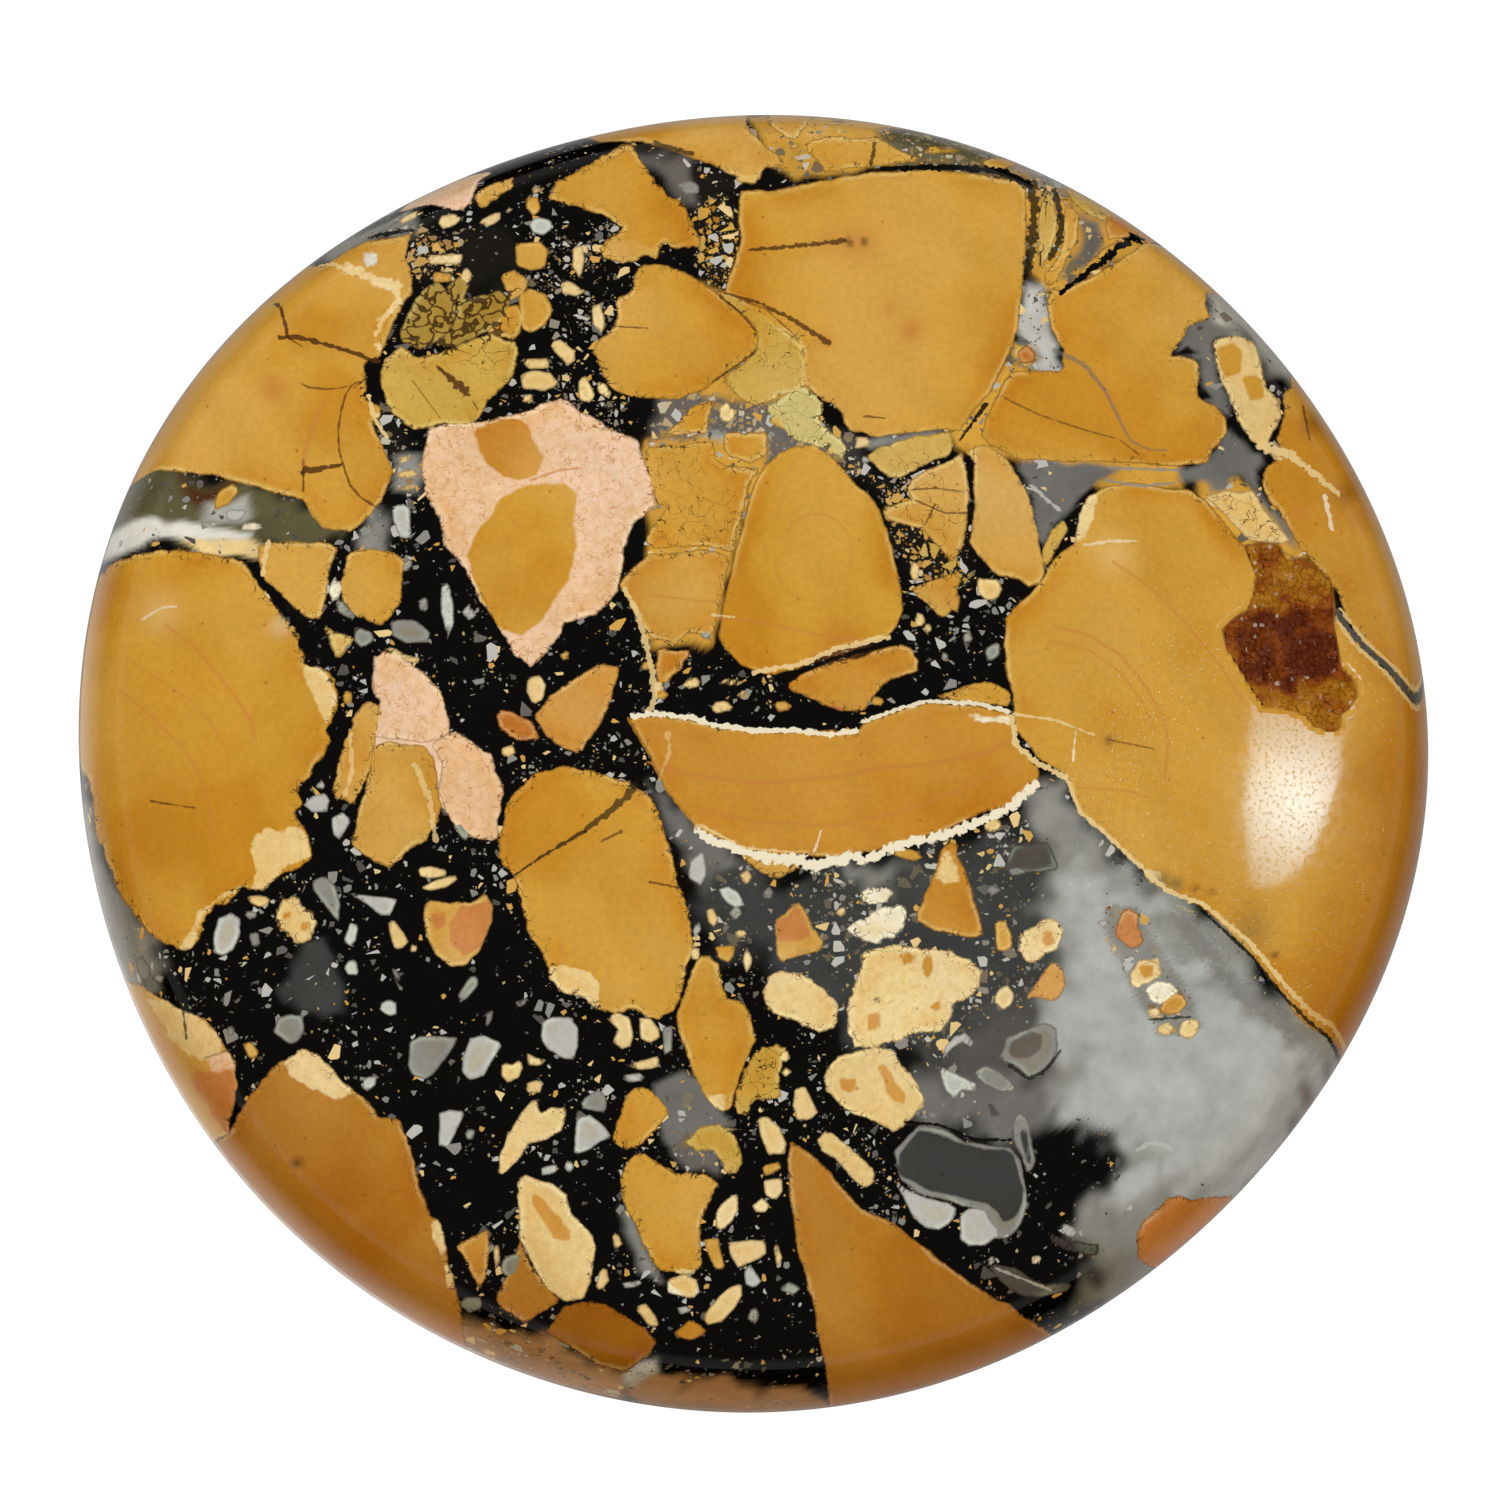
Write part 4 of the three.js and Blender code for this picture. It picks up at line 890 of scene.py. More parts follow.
down_wall = (ring - EDGE_RINGS) / WALL_RINGS
wall_turn = wall_top_lean + (WALL_FOOT_LEAN - wall_top_lean) * down_wall
on_wall = (ring > EDGE_RINGS) & (ring <= EDGE_RINGS + WALL_RINGS)
radius = np.where(on_wall, wall_centre[0] + WALL_ROUND * np.cos(wall_turn), radius)
height = np.where(on_wall, wall_centre[1] + WALL_ROUND * np.sin(wall_turn), height)

radius = np.where(ring == RINGS, MEAN_RADIUS - BACK_BEVEL, radius)
on_back = ring > RINGS
radius = np.where(on_back, share * (MEAN_RADIUS - BACK_BEVEL) * BACK_GRID_SHARE, radius)
height = np.where(ring >= RINGS, 0.0, height)

wide_radius = radius * outline_scale(direction)
stone_mm = np.stack([wide_radius * np.cos(direction), wide_radius * np.sin(direction), height], axis=1)
stone_mm[:, :2] -= (stone_mm[:, :2].max(axis=0) + stone_mm[:, :2].min(axis=0)) / 2
print("stone", stone_mm.max(axis=0) - stone_mm.min(axis=0), "mm,", count, "vertices")

# %% [markdown]
# ## The open hollow
# Near the right edge a small cavity breaks the polish. Its rim is irregular, its walls are
# steep and its floor follows the dome a millimetre further down. The vertices inside the rim
# are lowered, so the skin stays one closed surface.

# %% Distance from an outline
def corners_of(text):
    """Corners of a marking from text such as '10,20 30,40'."""
    return np.array([[float(number) for number in corner.split(",")] for corner in text.split()])


def walked(text):
    """The corners of an outline that is written as its first corner and the steps after it."""
    return np.cumsum(corners_of(text), axis=0)


def ways_to(points, starts, ends):
    """The way from every point to the nearest place on every edge."""
    run = ends - starts
    along = ((points[:, None] - starts) * run).sum(axis=2) / np.maximum((run ** 2).sum(axis=1), 1e-9)
    along = np.clip(along, 0, 1)
    return starts + along[..., None] * run - points[:, None], along


def depth_inside(points, corners):
    """How deep every point lies inside an outline. It is negative outside."""
    ends = np.roll(corners, -1, axis=0)
    way, _ = ways_to(points, corners, ends)
    nearest = np.sqrt((way ** 2).sum(axis=2).min(axis=1))
    x, y = points[:, :1], points[:, 1:]
    straddles = (corners[:, 1] > y) != (ends[:, 1] > y)
    fall = np.where(ends[:, 1] == corners[:, 1], 1e-9, ends[:, 1] - corners[:, 1])
    crossing = corners[:, 0] + (y - corners[:, 1]) * (ends[:, 0] - corners[:, 0]) / fall
    inside = (straddles & (x < crossing)).sum(axis=1) % 2 == 1
    return np.where(inside, nearest, -nearest)


# %% Lower the hollow
HOLLOW_RIM = corners_of(
    "14.09,5.92 14.61,6.07 15.19,6.02 15.36,5.57 15.95,5.70 16.43,5.34 16.79,5.00 16.87,4.25 "
    "16.86,3.68 16.95,3.02 17.03,2.45 17.43,2.03 17.52,1.56 17.24,1.12 16.99,0.95 16.99,0.51 "
    "16.65,0.42 16.16,0.57 15.89,0.88 15.22,1.05 14.64,1.04 14.28,1.53 13.89,2.16 13.53,2.71 "
    "13.39,3.37 13.73,3.72 14.15,3.98 14.34,4.45 14.41,5.03")
HOLLOW_DEPTH = 1.1
HOLLOW_WALL = 0.28
HOLLOW_ROOM = 5.0
LOWEST_NEAR_HOLLOW = 4.0

near_hollow = (np.abs(stone_mm[:, :2] - HOLLOW_RIM.mean(axis=0)) < HOLLOW_ROOM).all(axis=1)
near_hollow &= height > LOWEST_NEAR_HOLLOW
hollow_depth = np.full(count, -HOLLOW_ROOM)
hollow_depth[near_hollow] = depth_inside(stone_mm[near_hollow, :2], HOLLOW_RIM)


def smooth_step(low, high, value):
    """Rises from 0 at low to 1 at high, softly at both ends."""
    share = np.clip((value - low) / (high - low), 0, 1)
    return share * share * (3 - 2 * share)


flat_px = photo_pixels(stone_mm)
stone_mm[:, 2] -= HOLLOW_DEPTH * smooth_step(0, HOLLOW_WALL, hollow_depth)
print("the hollow's floor lies at", stone_mm[hollow_depth > 1, 2].min(), "mm")

# %% [markdown]
# ## Where each vertex meets the photo
# A marking goes on into the stone, so the wall and the back show the same pieces cut lower
# down. Every vertex is projected to the photo. Below the part of the wall that the photo shows,
# the pattern also drifts sideways with depth, as a breccia changes from one slice to the next.

# %% Project and drift
DRIFT_STARTS_AT = 0.4
FULL_DRIFT_DEPTH = 6
FULL_DRIFT = 3.2
DRIFT_LENGTH = 26


def gentle_wave(flat, seed, length):
    """A smooth wandering value between about -1 and 1."""
    total = np.zeros(len(flat))
    chance = np.random.default_rng(seed)
    for _ in range(5):
        way = chance.uniform(0, 2 * math.pi)
        stretch = chance.uniform(0.7, 1.6)
        wave = np.array([math.cos(way), math.sin(way)]) * 2 * math.pi / (length * stretch)
        total += np.sin(flat @ wave + chance.uniform(0, 6.3))
    return total / 2.2


slice_depth = np.clip(dome_height(stone_mm) - stone_mm[:, 2] - DRIFT_STARTS_AT, 0, None)
slice_depth[near_hollow] = 0
toward_camera = stone_mm[:, 0] * math.sin(AZIMUTH) - stone_mm[:, 1] * math.cos(AZIMUTH)
toward_camera = smooth_step(-0.3, 0.5, toward_camera / MEAN_RADIUS)
reach = np.linalg.norm(stone_mm[:, :2], axis=1) / MEAN_RADIUS
shown = toward_camera * smooth_step(0.6, 0.96, reach)
drift_share = np.clip(slice_depth / FULL_DRIFT_DEPTH, 0, 1) * (1 - shown)
drift = np.stack([gentle_wave(stone_mm[:, :2], seed, DRIFT_LENGTH) for seed in (3, 8)], axis=1)
vertex_px = flat_px + drift * drift_share[:, None] * FULL_DRIFT * PIXELS_PER_MM
print("largest drift", np.abs(vertex_px - flat_px).max(), "pixels")

# %% [markdown]
# ## From outlines to values on the vertices
# A depth of zero is the edge of a piece, and between two vertices the depth runs straight, so
# even a coarse mesh draws a sharp edge in the right place. That only fails in a thin crack,
# where both vertices lie inside a piece. So neighbouring pieces go on different beds: each bed
# has its own depth, and a crack stays open because each bed ends on its own side of it.

# %% Lay the pieces on beds
REACH = 40.0
CRACK = 12.0
NO_PIECE = [0.6, 0.35, 0.05, 0.5]
SPLINTER_RAGGED = 0.15


def new_bed():
    """An empty bed: no piece is near any vertex."""
    return {"depth": np.full(count, -REACH), "tone": np.tile(NO_PIECE, (count, 1))}


def vertices_near(corners):
    """The vertices within reach of the box round a marking."""
    low, high = corners.min(axis=0) - REACH, corners.max(axis=0) + REACH
    return np.flatnonzero(((vertex_px > low) & (vertex_px < high)).all(axis=1))


def lay_pieces(pieces, beds):
    """Gives each piece to a bed where no neighbour lies closer than a crack's width."""
    for name, tone, ragged, outline in pieces:
        corners = walked(outline) if isinstance(outline, str) else outline
        near = vertices_near(corners)
        if len(near) == 0:
            continue
        depth = depth_inside(vertex_px[near], corners)
        crowd = [np.minimum(bed["depth"][near], depth).max() for bed in beds]
        free = np.array(crowd) < -CRACK / 2
        bed = beds[int(np.argmax(free) if free.any() else np.argmin(crowd))]
        nearer = depth > bed["depth"][near]
        chosen = near[nearer]
        bed["depth"][chosen] = depth[nearer]
        bed["tone"][chosen, :3] = linear(tone)
        bed["tone"][chosen, 3] = ragged
    return beds


CHIP_SEED = 11
CHIP_SIDES = (4, 7)
CHIP_SKEW = 0.35
CHIP_PUSH = (0.85, 1.3)
CHIP_RAGGED = 0.2
FULL_TURN = 6.28


def chip_outlines():
    """An angular outline for each placed chip, a little different every time."""
    chance = np.random.default_rng(CHIP_SEED)
    made = []
    for tone, boxes in CHIP_BOXES.items():
        for box in corners_of(boxes):
            centre, half = (box[:2] + box[2:]) / 2, (box[2:] - box[:2]) / 2
            sides = chance.integers(*CHIP_SIDES)
            turn = chance.uniform(0, FULL_TURN) + np.arange(sides) / sides * FULL_TURN
            turn += chance.uniform(-CHIP_SKEW, CHIP_SKEW, sides)
            push = chance.uniform(*CHIP_PUSH, sides)
            ring = np.stack([np.cos(turn) * push, np.sin(turn) * push], axis=1)
            made.append(("chip", tone, CHIP_RAGGED, centre + ring * half))
    return made


splinters = [("splinter", tone, SPLINTER_RAGGED, corners)
             for tone, text in SPLINTERS.items() for corners in text.split(";")]
beds = lay_pieces(LARGE_PIECES + splinters + chip_outlines(), [new_bed() for _ in range(4)])
patch_beds = lay_pieces(PATCHES, [new_bed() for _ in range(2)])
for number, bed in enumerate(beds):
    print("bed", number, "covers", round((bed["depth"] > 0).mean(), 3))

# %% [markdown]
# ## The darker, browner rim: browning and painted shade
# Along the lower and right edge the stone is darker and browner: partly a browner tone of its own,
# partly painted shade where less light reaches. The strength is read off the photo in a few directions,
# counted from the right and turning left, and fades towards the middle along a wandering line.

# %% Where the rim is browned and painted darker
BROWN_AND_SHADE_DIRECTIONS = [
    0, 20, 45, 70, 160, 180, 200, 225, 250, 270, 290, 302, 307, 322, 331, 335, 350, 360]
BROWN_AND_SHADE_STRENGTHS = [
    0.6, 0.4, 0.15, 0.0, 0.0, 0.15, 0.4, 0.5, 0.7, 0.75, 0.85, 0.8, 0.25, 0.2, 0.25, 0.9, 1.0, 0.7]
BROWN_AND_SHADE_FADE_PX = (120, 15)
BROWN_AND_SHADE_WANDER_PX = 14
around = np.degrees(np.arctan2(stone_mm[:, 1], stone_mm[:, 0])) % 360
from_rim = (1 - reach) * MEAN_RADIUS * PIXELS_PER_MM
from_rim += BROWN_AND_SHADE_WANDER_PX * gentle_wave(stone_mm[:, :2], 41, 5)
rim_brown_and_shade = np.interp(around, BROWN_AND_SHADE_DIRECTIONS, BROWN_AND_SHADE_STRENGTHS)
rim_brown_and_shade = rim_brown_and_shade * smooth_step(*BROWN_AND_SHADE_FADE_PX, from_rim)
print("scorched over", round((rim_brown_and_shade > 0.2).mean(), 3))

# %% [markdown]
# ## The surface laid flat
# Fine cracks and dust need a place that runs on smoothly over the dome, the edge and the wall.
# So every vertex gets the spot where it would lie if the skin were rolled out flat from the top,
# in millimetres. The back starts again from its own middle, set well aside, so that its dust
# isn't a copy of the front's.

# %% Unroll the surface for fine patterns
BACK_ASIDE = 70
dome_arc = DOME_RADIUS * (math.pi / 2 - meeting)
edge_arc = EDGE_ROUND * (meeting - wall_top_lean)
wall_arc = WALL_ROUND * (wall_top_lean - WALL_FOOT_LEAN)
unrolled_radius = share * dome_arc
unrolled_radius = np.where(on_edge, dome_arc + edge_arc * ring / EDGE_RINGS, unrolled_radius)
on_wall_or_foot = on_wall | (ring == RINGS)
unrolled_radius = np.where(
    on_wall_or_foot, dome_arc + edge_arc + wall_arc * down_wall, unrolled_radius)
unrolled_radius = np.where(on_back, radius, unrolled_radius)
unrolled = np.stack([
    unrolled_radius * np.cos(direction) + np.where(on_back, BACK_ASIDE, 0),
    unrolled_radius * np.sin(direction),
    np.zeros(count),
], axis=1)
print("unrolled to a radius of", round(unrolled_radius.max(), 1), "mm")

# %% [markdown]
# ## The ground, zone by zone
# Each zone is painted over the ones before it, with a soft border that a wandering push makes
# irregular. One mesh value holds the colour and the share of chips, another the crumbs. A third
# says where a piece is crushed, and the material draws its net of cracks there.

# %% Lay the ground
CRACKLE_FADE_PX = 8


def wandering(seed, length):
    """A sideways push for every vertex, in no unit, that wanders smoothly."""
    both = [gentle_wave(vertex_px, seed + side, length) for side in range(2)]
    return np.stack(both, axis=1)


wisps = 0.55 * wandering(51, 70) + 0.35 * wandering(53, 30)
ground = np.tile([*linear("black"), 0.55], (count, 1))
crumbs = np.zeros(count)
for name, tone, feather, chips, crumb, outline in ZONES:
    depth = depth_inside(vertex_px + feather * wisps, walked(outline))
    share = smooth_step(-feather, feather, depth)[:, None]
    ground = ground * (1 - share) + np.array([*linear(tone), chips]) * share
    crumbs = crumbs * (1 - share[:, 0]) + crumb * share[:, 0]
crackle = np.zeros(count)
for strength, outline in CRACKLED:
    depth = depth_inside(vertex_px, walked(outline))
    crackle = np.maximum(crackle, strength * smooth_step(-CRACKLE_FADE_PX, CRACKLE_FADE_PX, depth))
print("crackled over", round((crackle > 0.1).mean(), 3))

# %% [markdown]
# ## Lines as arrows
# A line is thinner than the mesh, so a depth can't hold it. Instead each vertex keeps an arrow
# to the nearest place on the line. Between two vertices on either side of the line the arrow
# passes through zero length exactly on it. A second value says whether the line is near at
# all, because the arrow also vanishes halfway between two lines.

# %% Lay the lines
LINE_ROOM_PX = 9


def new_lines():
    """No line near any vertex."""
    return {
        "arrow": np.tile([REACH, 0.0, 1.0], (count, 1)),
        "near": np.full(count, REACH),
        "tone": np.tile([0.0, 0.0, 0.0, 0.0], (count, 1)),
    }


def lay_lines(drawn, sheets):
    """Gives each line to a sheet where it crosses no other."""
    for tone, start_width, end_width, strength, text in drawn:
        points = walked(text)
        near = vertices_near(points)
        if len(near) == 0:
            continue
        ways, along = ways_to(vertex_px[near], points[:-1], points[1:])
        gaps = np.sqrt((ways ** 2).sum(axis=2))
        pick = gaps.argmin(axis=1)
        rows = np.arange(len(near))
        gap = gaps[rows, pick]
        lengths = np.linalg.norm(points[1:] - points[:-1], axis=1)
        run = np.concatenate([[0], np.cumsum(lengths)])[pick] + along[rows, pick] * lengths[pick]
        width = start_width + (end_width - start_width) * run / lengths.sum()
        crowd = [np.maximum(sheet["near"][near], gap).min() for sheet in sheets]
        free = np.array(crowd) > LINE_ROOM_PX
        sheet = sheets[int(np.argmax(free) if free.any() else np.argmax(crowd))]
        nearer = gap < sheet["near"][near]
        chosen = near[nearer]
        sheet["arrow"][chosen, :2] = ways[rows, pick][nearer]
        sheet["arrow"][chosen, 2] = width[nearer]
        sheet["near"][chosen] = gap[nearer]
        sheet["tone"][chosen] = [*linear(tone), strength]
    return sheets


sheets = lay_lines(DRAWN_LINES, [new_lines() for _ in range(4)])
# stains, and two soft spots of painted reflection
stain_and_sheen_tone = np.zeros((count, 4))
for tone, size, strength, spot in STAINS_AND_SHEEN:
    gap = np.linalg.norm(vertex_px - corners_of(spot)[0], axis=1)
    share = strength * np.exp(-(gap / size) ** 2)
    stronger = share > stain_and_sheen_tone[:, 3]
    stain_and_sheen_tone[stronger, :3] = linear(tone)
    stain_and_sheen_tone[stronger, 3] = share[stronger]
for number, sheet in enumerate(sheets):
    print("sheet", number, "has", int((sheet["near"] < 5).sum()), "vertices on a line")

# %% [markdown]
# ## On to the mesh
# The skin is fitted to the plain solid's box by a hair, so that it never stands proud of it.
# Then every value is stored on the mesh under a name. Faces in the hollow stay flat, because
# broken rock has no polish, and all others are shaded smooth.

# %% Fit the skin to the solid's box and write everything on the mesh
stone_low, stone_high = [np.array(corner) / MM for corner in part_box("stone")]
own_low, own_high = stone_mm.min(axis=0), stone_mm.max(axis=0)
fit = np.minimum((stone_high - stone_low) / (own_high - own_low), 1.0) * (1 - 2e-5)
stone_mm = (stone_mm - (own_low + own_high) / 2) * fit + (stone_low + stone_high) / 2
stone_mesh.vertices.foreach_set("co", (stone_mm * MM).ravel())


def keep(mesh, name, values):
    """Writes a number, an arrow or a colour per vertex on the mesh, under a name to read it by."""
    kind, field = {1: ("FLOAT", "value"), 3: ("FLOAT_VECTOR", "vector"),
                   4: ("FLOAT_COLOR", "color")}[values[0].size]
    layer = mesh.attributes.new(name, kind, "POINT")
    layer.data.foreach_set(field, np.ascontiguousarray(values, dtype=np.float32).ravel())


for name, laid in [("bed", beds), ("patch", patch_beds)]:
    for number, bed in enumerate(laid):
        keep(stone_mesh, f"{name}_{number}", bed["depth"])
        keep(stone_mesh, f"{name}_{number}_tone", bed["tone"])
for number, sheet in enumerate(sheets):
    keep(stone_mesh, f"line_{number}", sheet["arrow"])
    keep(stone_mesh, f"line_{number}_near", sheet["near"])
    keep(stone_mesh, f"line_{number}_tone", sheet["tone"])
for name, values in [("ground", ground), ("crumbs", crumbs), ("stain_and_sheen", stain_and_sheen_tone),
                     ("hollow", hollow_depth), ("crackle", crackle), ("rim_brown_and_shade", rim_brown_and_shade),
                     ("unrolled", unrolled)]:
    keep(stone_mesh, name, values)
loops = np.empty(len(stone_mesh.loops), dtype=np.int32)
stone_mesh.loops.foreach_get("vertex_index", loops)
corners_each = np.empty(len(stone_mesh.polygons), dtype=np.int32)
stone_mesh.polygons.foreach_get("loop_total", corners_each)
face_of_corner = np.repeat(np.arange(len(corners_each)), corners_each)
lowered = np.bincount(face_of_corner, weights=hollow_depth[loops] > 0) > 0
stone_mesh.polygons.foreach_set("use_smooth", ~lowered)
stone_mesh.update()


def put_in_scene(name, data):
    """Makes an object of a mesh or a camera and links it to the scene."""
    made = bpy.data.objects.new(name, data)
    bpy.context.collection.objects.link(made)
    return made


stone_piece = put_in_scene("polished_stone", stone_mesh)
triangles = sum(len(face.vertices) - 2 for face in stone_mesh.polygons)
print("polished stone:", triangles, "triangles")

# %% [markdown]
# ## The jasper material
# The material reads the values on the vertices and adds what no hand would draw: the crumbled
# edges, the dust of tiny chips in the black, the mottling of the ochre, the fine cracks. Its
# patterns are flat ones on the unrolled surface, so they run over the rounded edge and down the
# wall at their true size. A few short helpers come first, because placing, feeding and naming
# every node by hand would fill pages.

# %% Short ways to place a node
def new_finish(name):
    """A new material, with its tree of nodes and its shader."""
    material = bpy.data.materials.new(name)
    material.use_nodes = True
    return material, material.node_tree, material.node_tree.nodes["Principled BSDF"]


def plug(tree, socket, feed):
    """Links a socket into another, or sets it to a plain value."""
    if isinstance(feed, bpy.types.NodeSocket):
        tree.links.new(feed, socket)
    elif feed is not None:
        socket.default_value = feed


def place(tree, kind, feeds, **settings):
    """Adds a node, gives it its settings and feeds its sockets by name or number."""
    made = tree.nodes.new(kind)
    for name, value in settings.items():
        setattr(made, name, value)
    for name, feed in feeds.items():
        plug(tree, made.inputs[name], feed)
    return made


def calc(tree, operation, first, second=None, third=None):
    """One step of arithmetic."""
    feeds = {0: first, 1: second, 2: third}
    return place(tree, "ShaderNodeMath", feeds, operation=operation).outputs[0]


def vector_calc(tree, operation, first, second=None, third=None):
    """One step of arithmetic with arrows, which gives an arrow or a plain value."""
    feeds = {0: first, 1: second, 2: third}
    made = place(tree, "ShaderNodeVectorMath", feeds, operation=operation)
    plain = operation in ("LENGTH", "DISTANCE", "DOT_PRODUCT")
    return made.outputs["Value" if plain else "Vector"]


def spread(tree, value, low, high, to_low=0.0, to_high=1.0, kind="LINEAR"):
    """Maps a range of values to another, and holds it at both ends."""
    feeds = {0: value, 1: low, 2: high, 3: to_low, 4: to_high}
    return place(tree, "ShaderNodeMapRange", feeds, interpolation_type=kind).outputs[0]


def mix(tree, share, under, over, kind="MIX"):
    """Lays one colour over another."""
    feeds = {0: share, 6: under, 7: over}
    return place(tree, "ShaderNodeMix", feeds, data_type="RGBA", blend_type=kind).outputs[2]


def times(tree, first, second):
    """Two values multiplied."""
    return calc(tree, "MULTIPLY", first, second)


def tinted(tree, colour, tint):
    """A colour multiplied by another, or by a plain value."""
    return mix(tree, 1.0, colour, tint, "MULTIPLY")


def read(tree, name):
    """A value that the mesh carries."""
    return place(tree, "ShaderNodeAttribute", {}, attribute_name=name)


def cloudy(tree, where, scale, detail=2.0, rough=0.5, twist=0.0):
    """A soft random value between 0 and 1."""
    feeds = {"Vector": where, "Scale": scale, "Detail": detail, "Roughness": rough,
             "Distortion": twist}
    return place(tree, "ShaderNodeTexNoise", feeds, noise_dimensions="2D").outputs[0]


def parts_of(tree, colour):
    """Red, green and blue of a colour."""
    return place(tree, "ShaderNodeSeparateColor", {0: colour}).outputs


def cells(tree, where, scale):
    """Angular cells: three random values for each, and the distance to its edge."""
    feeds = {"Vector": where, "Scale": scale, "Randomness": 1.0}
    flat = {"voronoi_dimensions": "2D"}
    random = place(tree, "ShaderNodeTexVoronoi", feeds, feature="F1", **flat)
    edge = place(tree, "ShaderNodeTexVoronoi", feeds, feature="DISTANCE_TO_EDGE", **flat)
    return parts_of(tree, random.outputs["Color"]), edge.outputs["Distance"]


def blueness(tree, colour):
    """The share of blue to red, which tells pale or pink jasper from ochre."""
    parts = parts_of(tree, colour)
    return calc(tree, "DIVIDE", parts[2], parts[0])


def rgba(tone, dim=1.0):
    """A tone as a colour socket wants it."""
    return (*(linear(tone) * dim), 1.0)


def palette(tree, value, tones):
    """Picks one of several tones by a random value, without blending."""
    made = place(tree, "ShaderNodeValToRGB", {0: value})
    made.color_ramp.interpolation = "CONSTANT"
    steps = made.color_ramp.elements
    for number, tone in enumerate(tones):
        step = steps[number] if number < 2 else steps.new(number / len(tones))
        step.position = number / len(tones)
        step.color = rgba(tone)
    return made.outputs[0]

# %% The black ground with its chips and dust
CHIP_TONES = ["grey", "smoke", "pale", "taupe", "cream", "grey", "smoke", "pale", "light"]
CRUMB_TONES = ["ochre", "mustard", "cream", "light", "shade", "mustard", "pale", "ochre"]
# cells per millimetre, share of cells that hold a chip, gap round it, brightness
CHIP_LAYERS = [(9.0, 0.22, 0.14, 0.55), (4.6, 0.27, 0.12, 0.9), (2.5, 0.16, 0.1, 1.0)]


def ground_colour(tree, where):
    """Black or grey silica, sprinkled with angular chips of three sizes."""
    tone = read(tree, "ground")
    crumb = read(tree, "crumbs").outputs["Fac"]
    density = tone.outputs["Alpha"]
    haze = cloudy(tree, where, 0.7, 5.0, 0.65)
    veil = spread(tree, haze, 0.3, 0.7, 0.84, 1.14)
    colour = tinted(tree, tone.outputs["Color"], veil)
    clusters = spread(tree, cloudy(tree, where, 0.45, 2.0), 0.4, 0.62, 0.1, 1.5)
    density = times(tree, density, clusters)
    for scale, amount, gap, dim in CHIP_LAYERS:
        random, edge = cells(tree, where, scale)
        wanted = times(tree, density, amount)
        wanted = calc(tree, "MULTIPLY_ADD", crumb, 0.55, wanted)
        chosen = calc(tree, "LESS_THAN", random[0], wanted)
        slim = calc(tree, "MULTIPLY_ADD", random[1], 0.16, gap)
        body = spread(tree, calc(tree, "SUBTRACT", edge, slim), 0.0, 0.025 * scale / 3)
        chips = palette(tree, random[2], CHIP_TONES)
        crumbs = palette(tree, random[2], CRUMB_TONES)
        chip = mix(tree, crumb, chips, crumbs)
        chip = tinted(tree, chip, (dim, dim, dim, 1.0))
        colour = mix(tree, times(tree, chosen, body), colour, chip)
    return colour


# %% The jasper pieces
DEEPER = (0.9, 0.76, 0.42, 1.0)
PALER = (1.06, 1.12, 1.6, 1.0)
WARMER = (0.9, 0.8, 0.58, 1.0)
RUSTY = (0.62, 0.42, 0.22, 1.0)


def piece_colour(tree, tone, where):
    """Waxy jasper: slow clouds, warped growth bands, a fine grain and a few rusty specks."""
    bend = place(tree, "ShaderNodeTexNoise", {"Vector": where, "Scale": 0.17, "Detail": 3.0},
                 noise_dimensions="2D")
    slow = bend.outputs[0]
    deeper = tinted(tree, tone, DEEPER)
    bluish = blueness(tree, tone)
    warm = spread(tree, bluish, 0.75, 0.6)
    varied = times(tree, spread(tree, bluish, 0.35, 0.12, 0.25, 1.0), warm)
    deep_share = times(tree, varied, spread(tree, slow, 0.5, 0.64, 0.0, 0.9))
    colour = mix(tree, deep_share, tone, deeper)
    paler = tinted(tree, tone, PALER)
    pale_share = times(tree, varied, spread(tree, slow, 0.47, 0.34, 0.0, 0.8))
    colour = mix(tree, pale_share, colour, paler)
    shifted = vector_calc(tree, "MULTIPLY_ADD", bend.outputs[1], (9.0, 9.0, 0.0), where)
    bands = place(tree, "ShaderNodeTexWave", {"Vector": shifted, "Scale": 0.13, "Detail": 2.0,
                                              "Distortion": 2.5, "Detail Scale": 0.8},
                  bands_direction="DIAGONAL")
    banded = spread(tree, bands.outputs["Fac"], 0.0, 1.0, 0.965, 1.025)
    colour = tinted(tree, colour, banded)
    pale_share = times(tree, spread(tree, bluish, 0.2, 0.4), warm)
    mottle = spread(tree, cloudy(tree, where, 3.0, 4.0, 0.62), 0.45, 0.58)
    warmer = tinted(tree, colour, WARMER)
    colour = mix(tree, times(tree, times(tree, mottle, pale_share), 0.5), colour, warmer)
    grain = spread(tree, cloudy(tree, where, 5.0, 3.0, 0.65), 0.3, 0.7, 0.94, 1.06)
    colour = tinted(tree, colour, grain)
    specks = place(tree, "ShaderNodeTexVoronoi", {"Vector": where, "Scale": 1.1},
                   voronoi_dimensions="2D")
    pick = parts_of(tree, specks.outputs["Color"])
    size = spread(tree, pick[0], 0.72, 1.0, 0.0, 0.06)
    speck = spread(tree, calc(tree, "SUBTRACT", size, specks.outputs["Distance"]), -0.02, 0.03)
    rusty = tinted(tree, colour, RUSTY)
    return mix(tree, times(tree, speck, 0.75), colour, rusty)


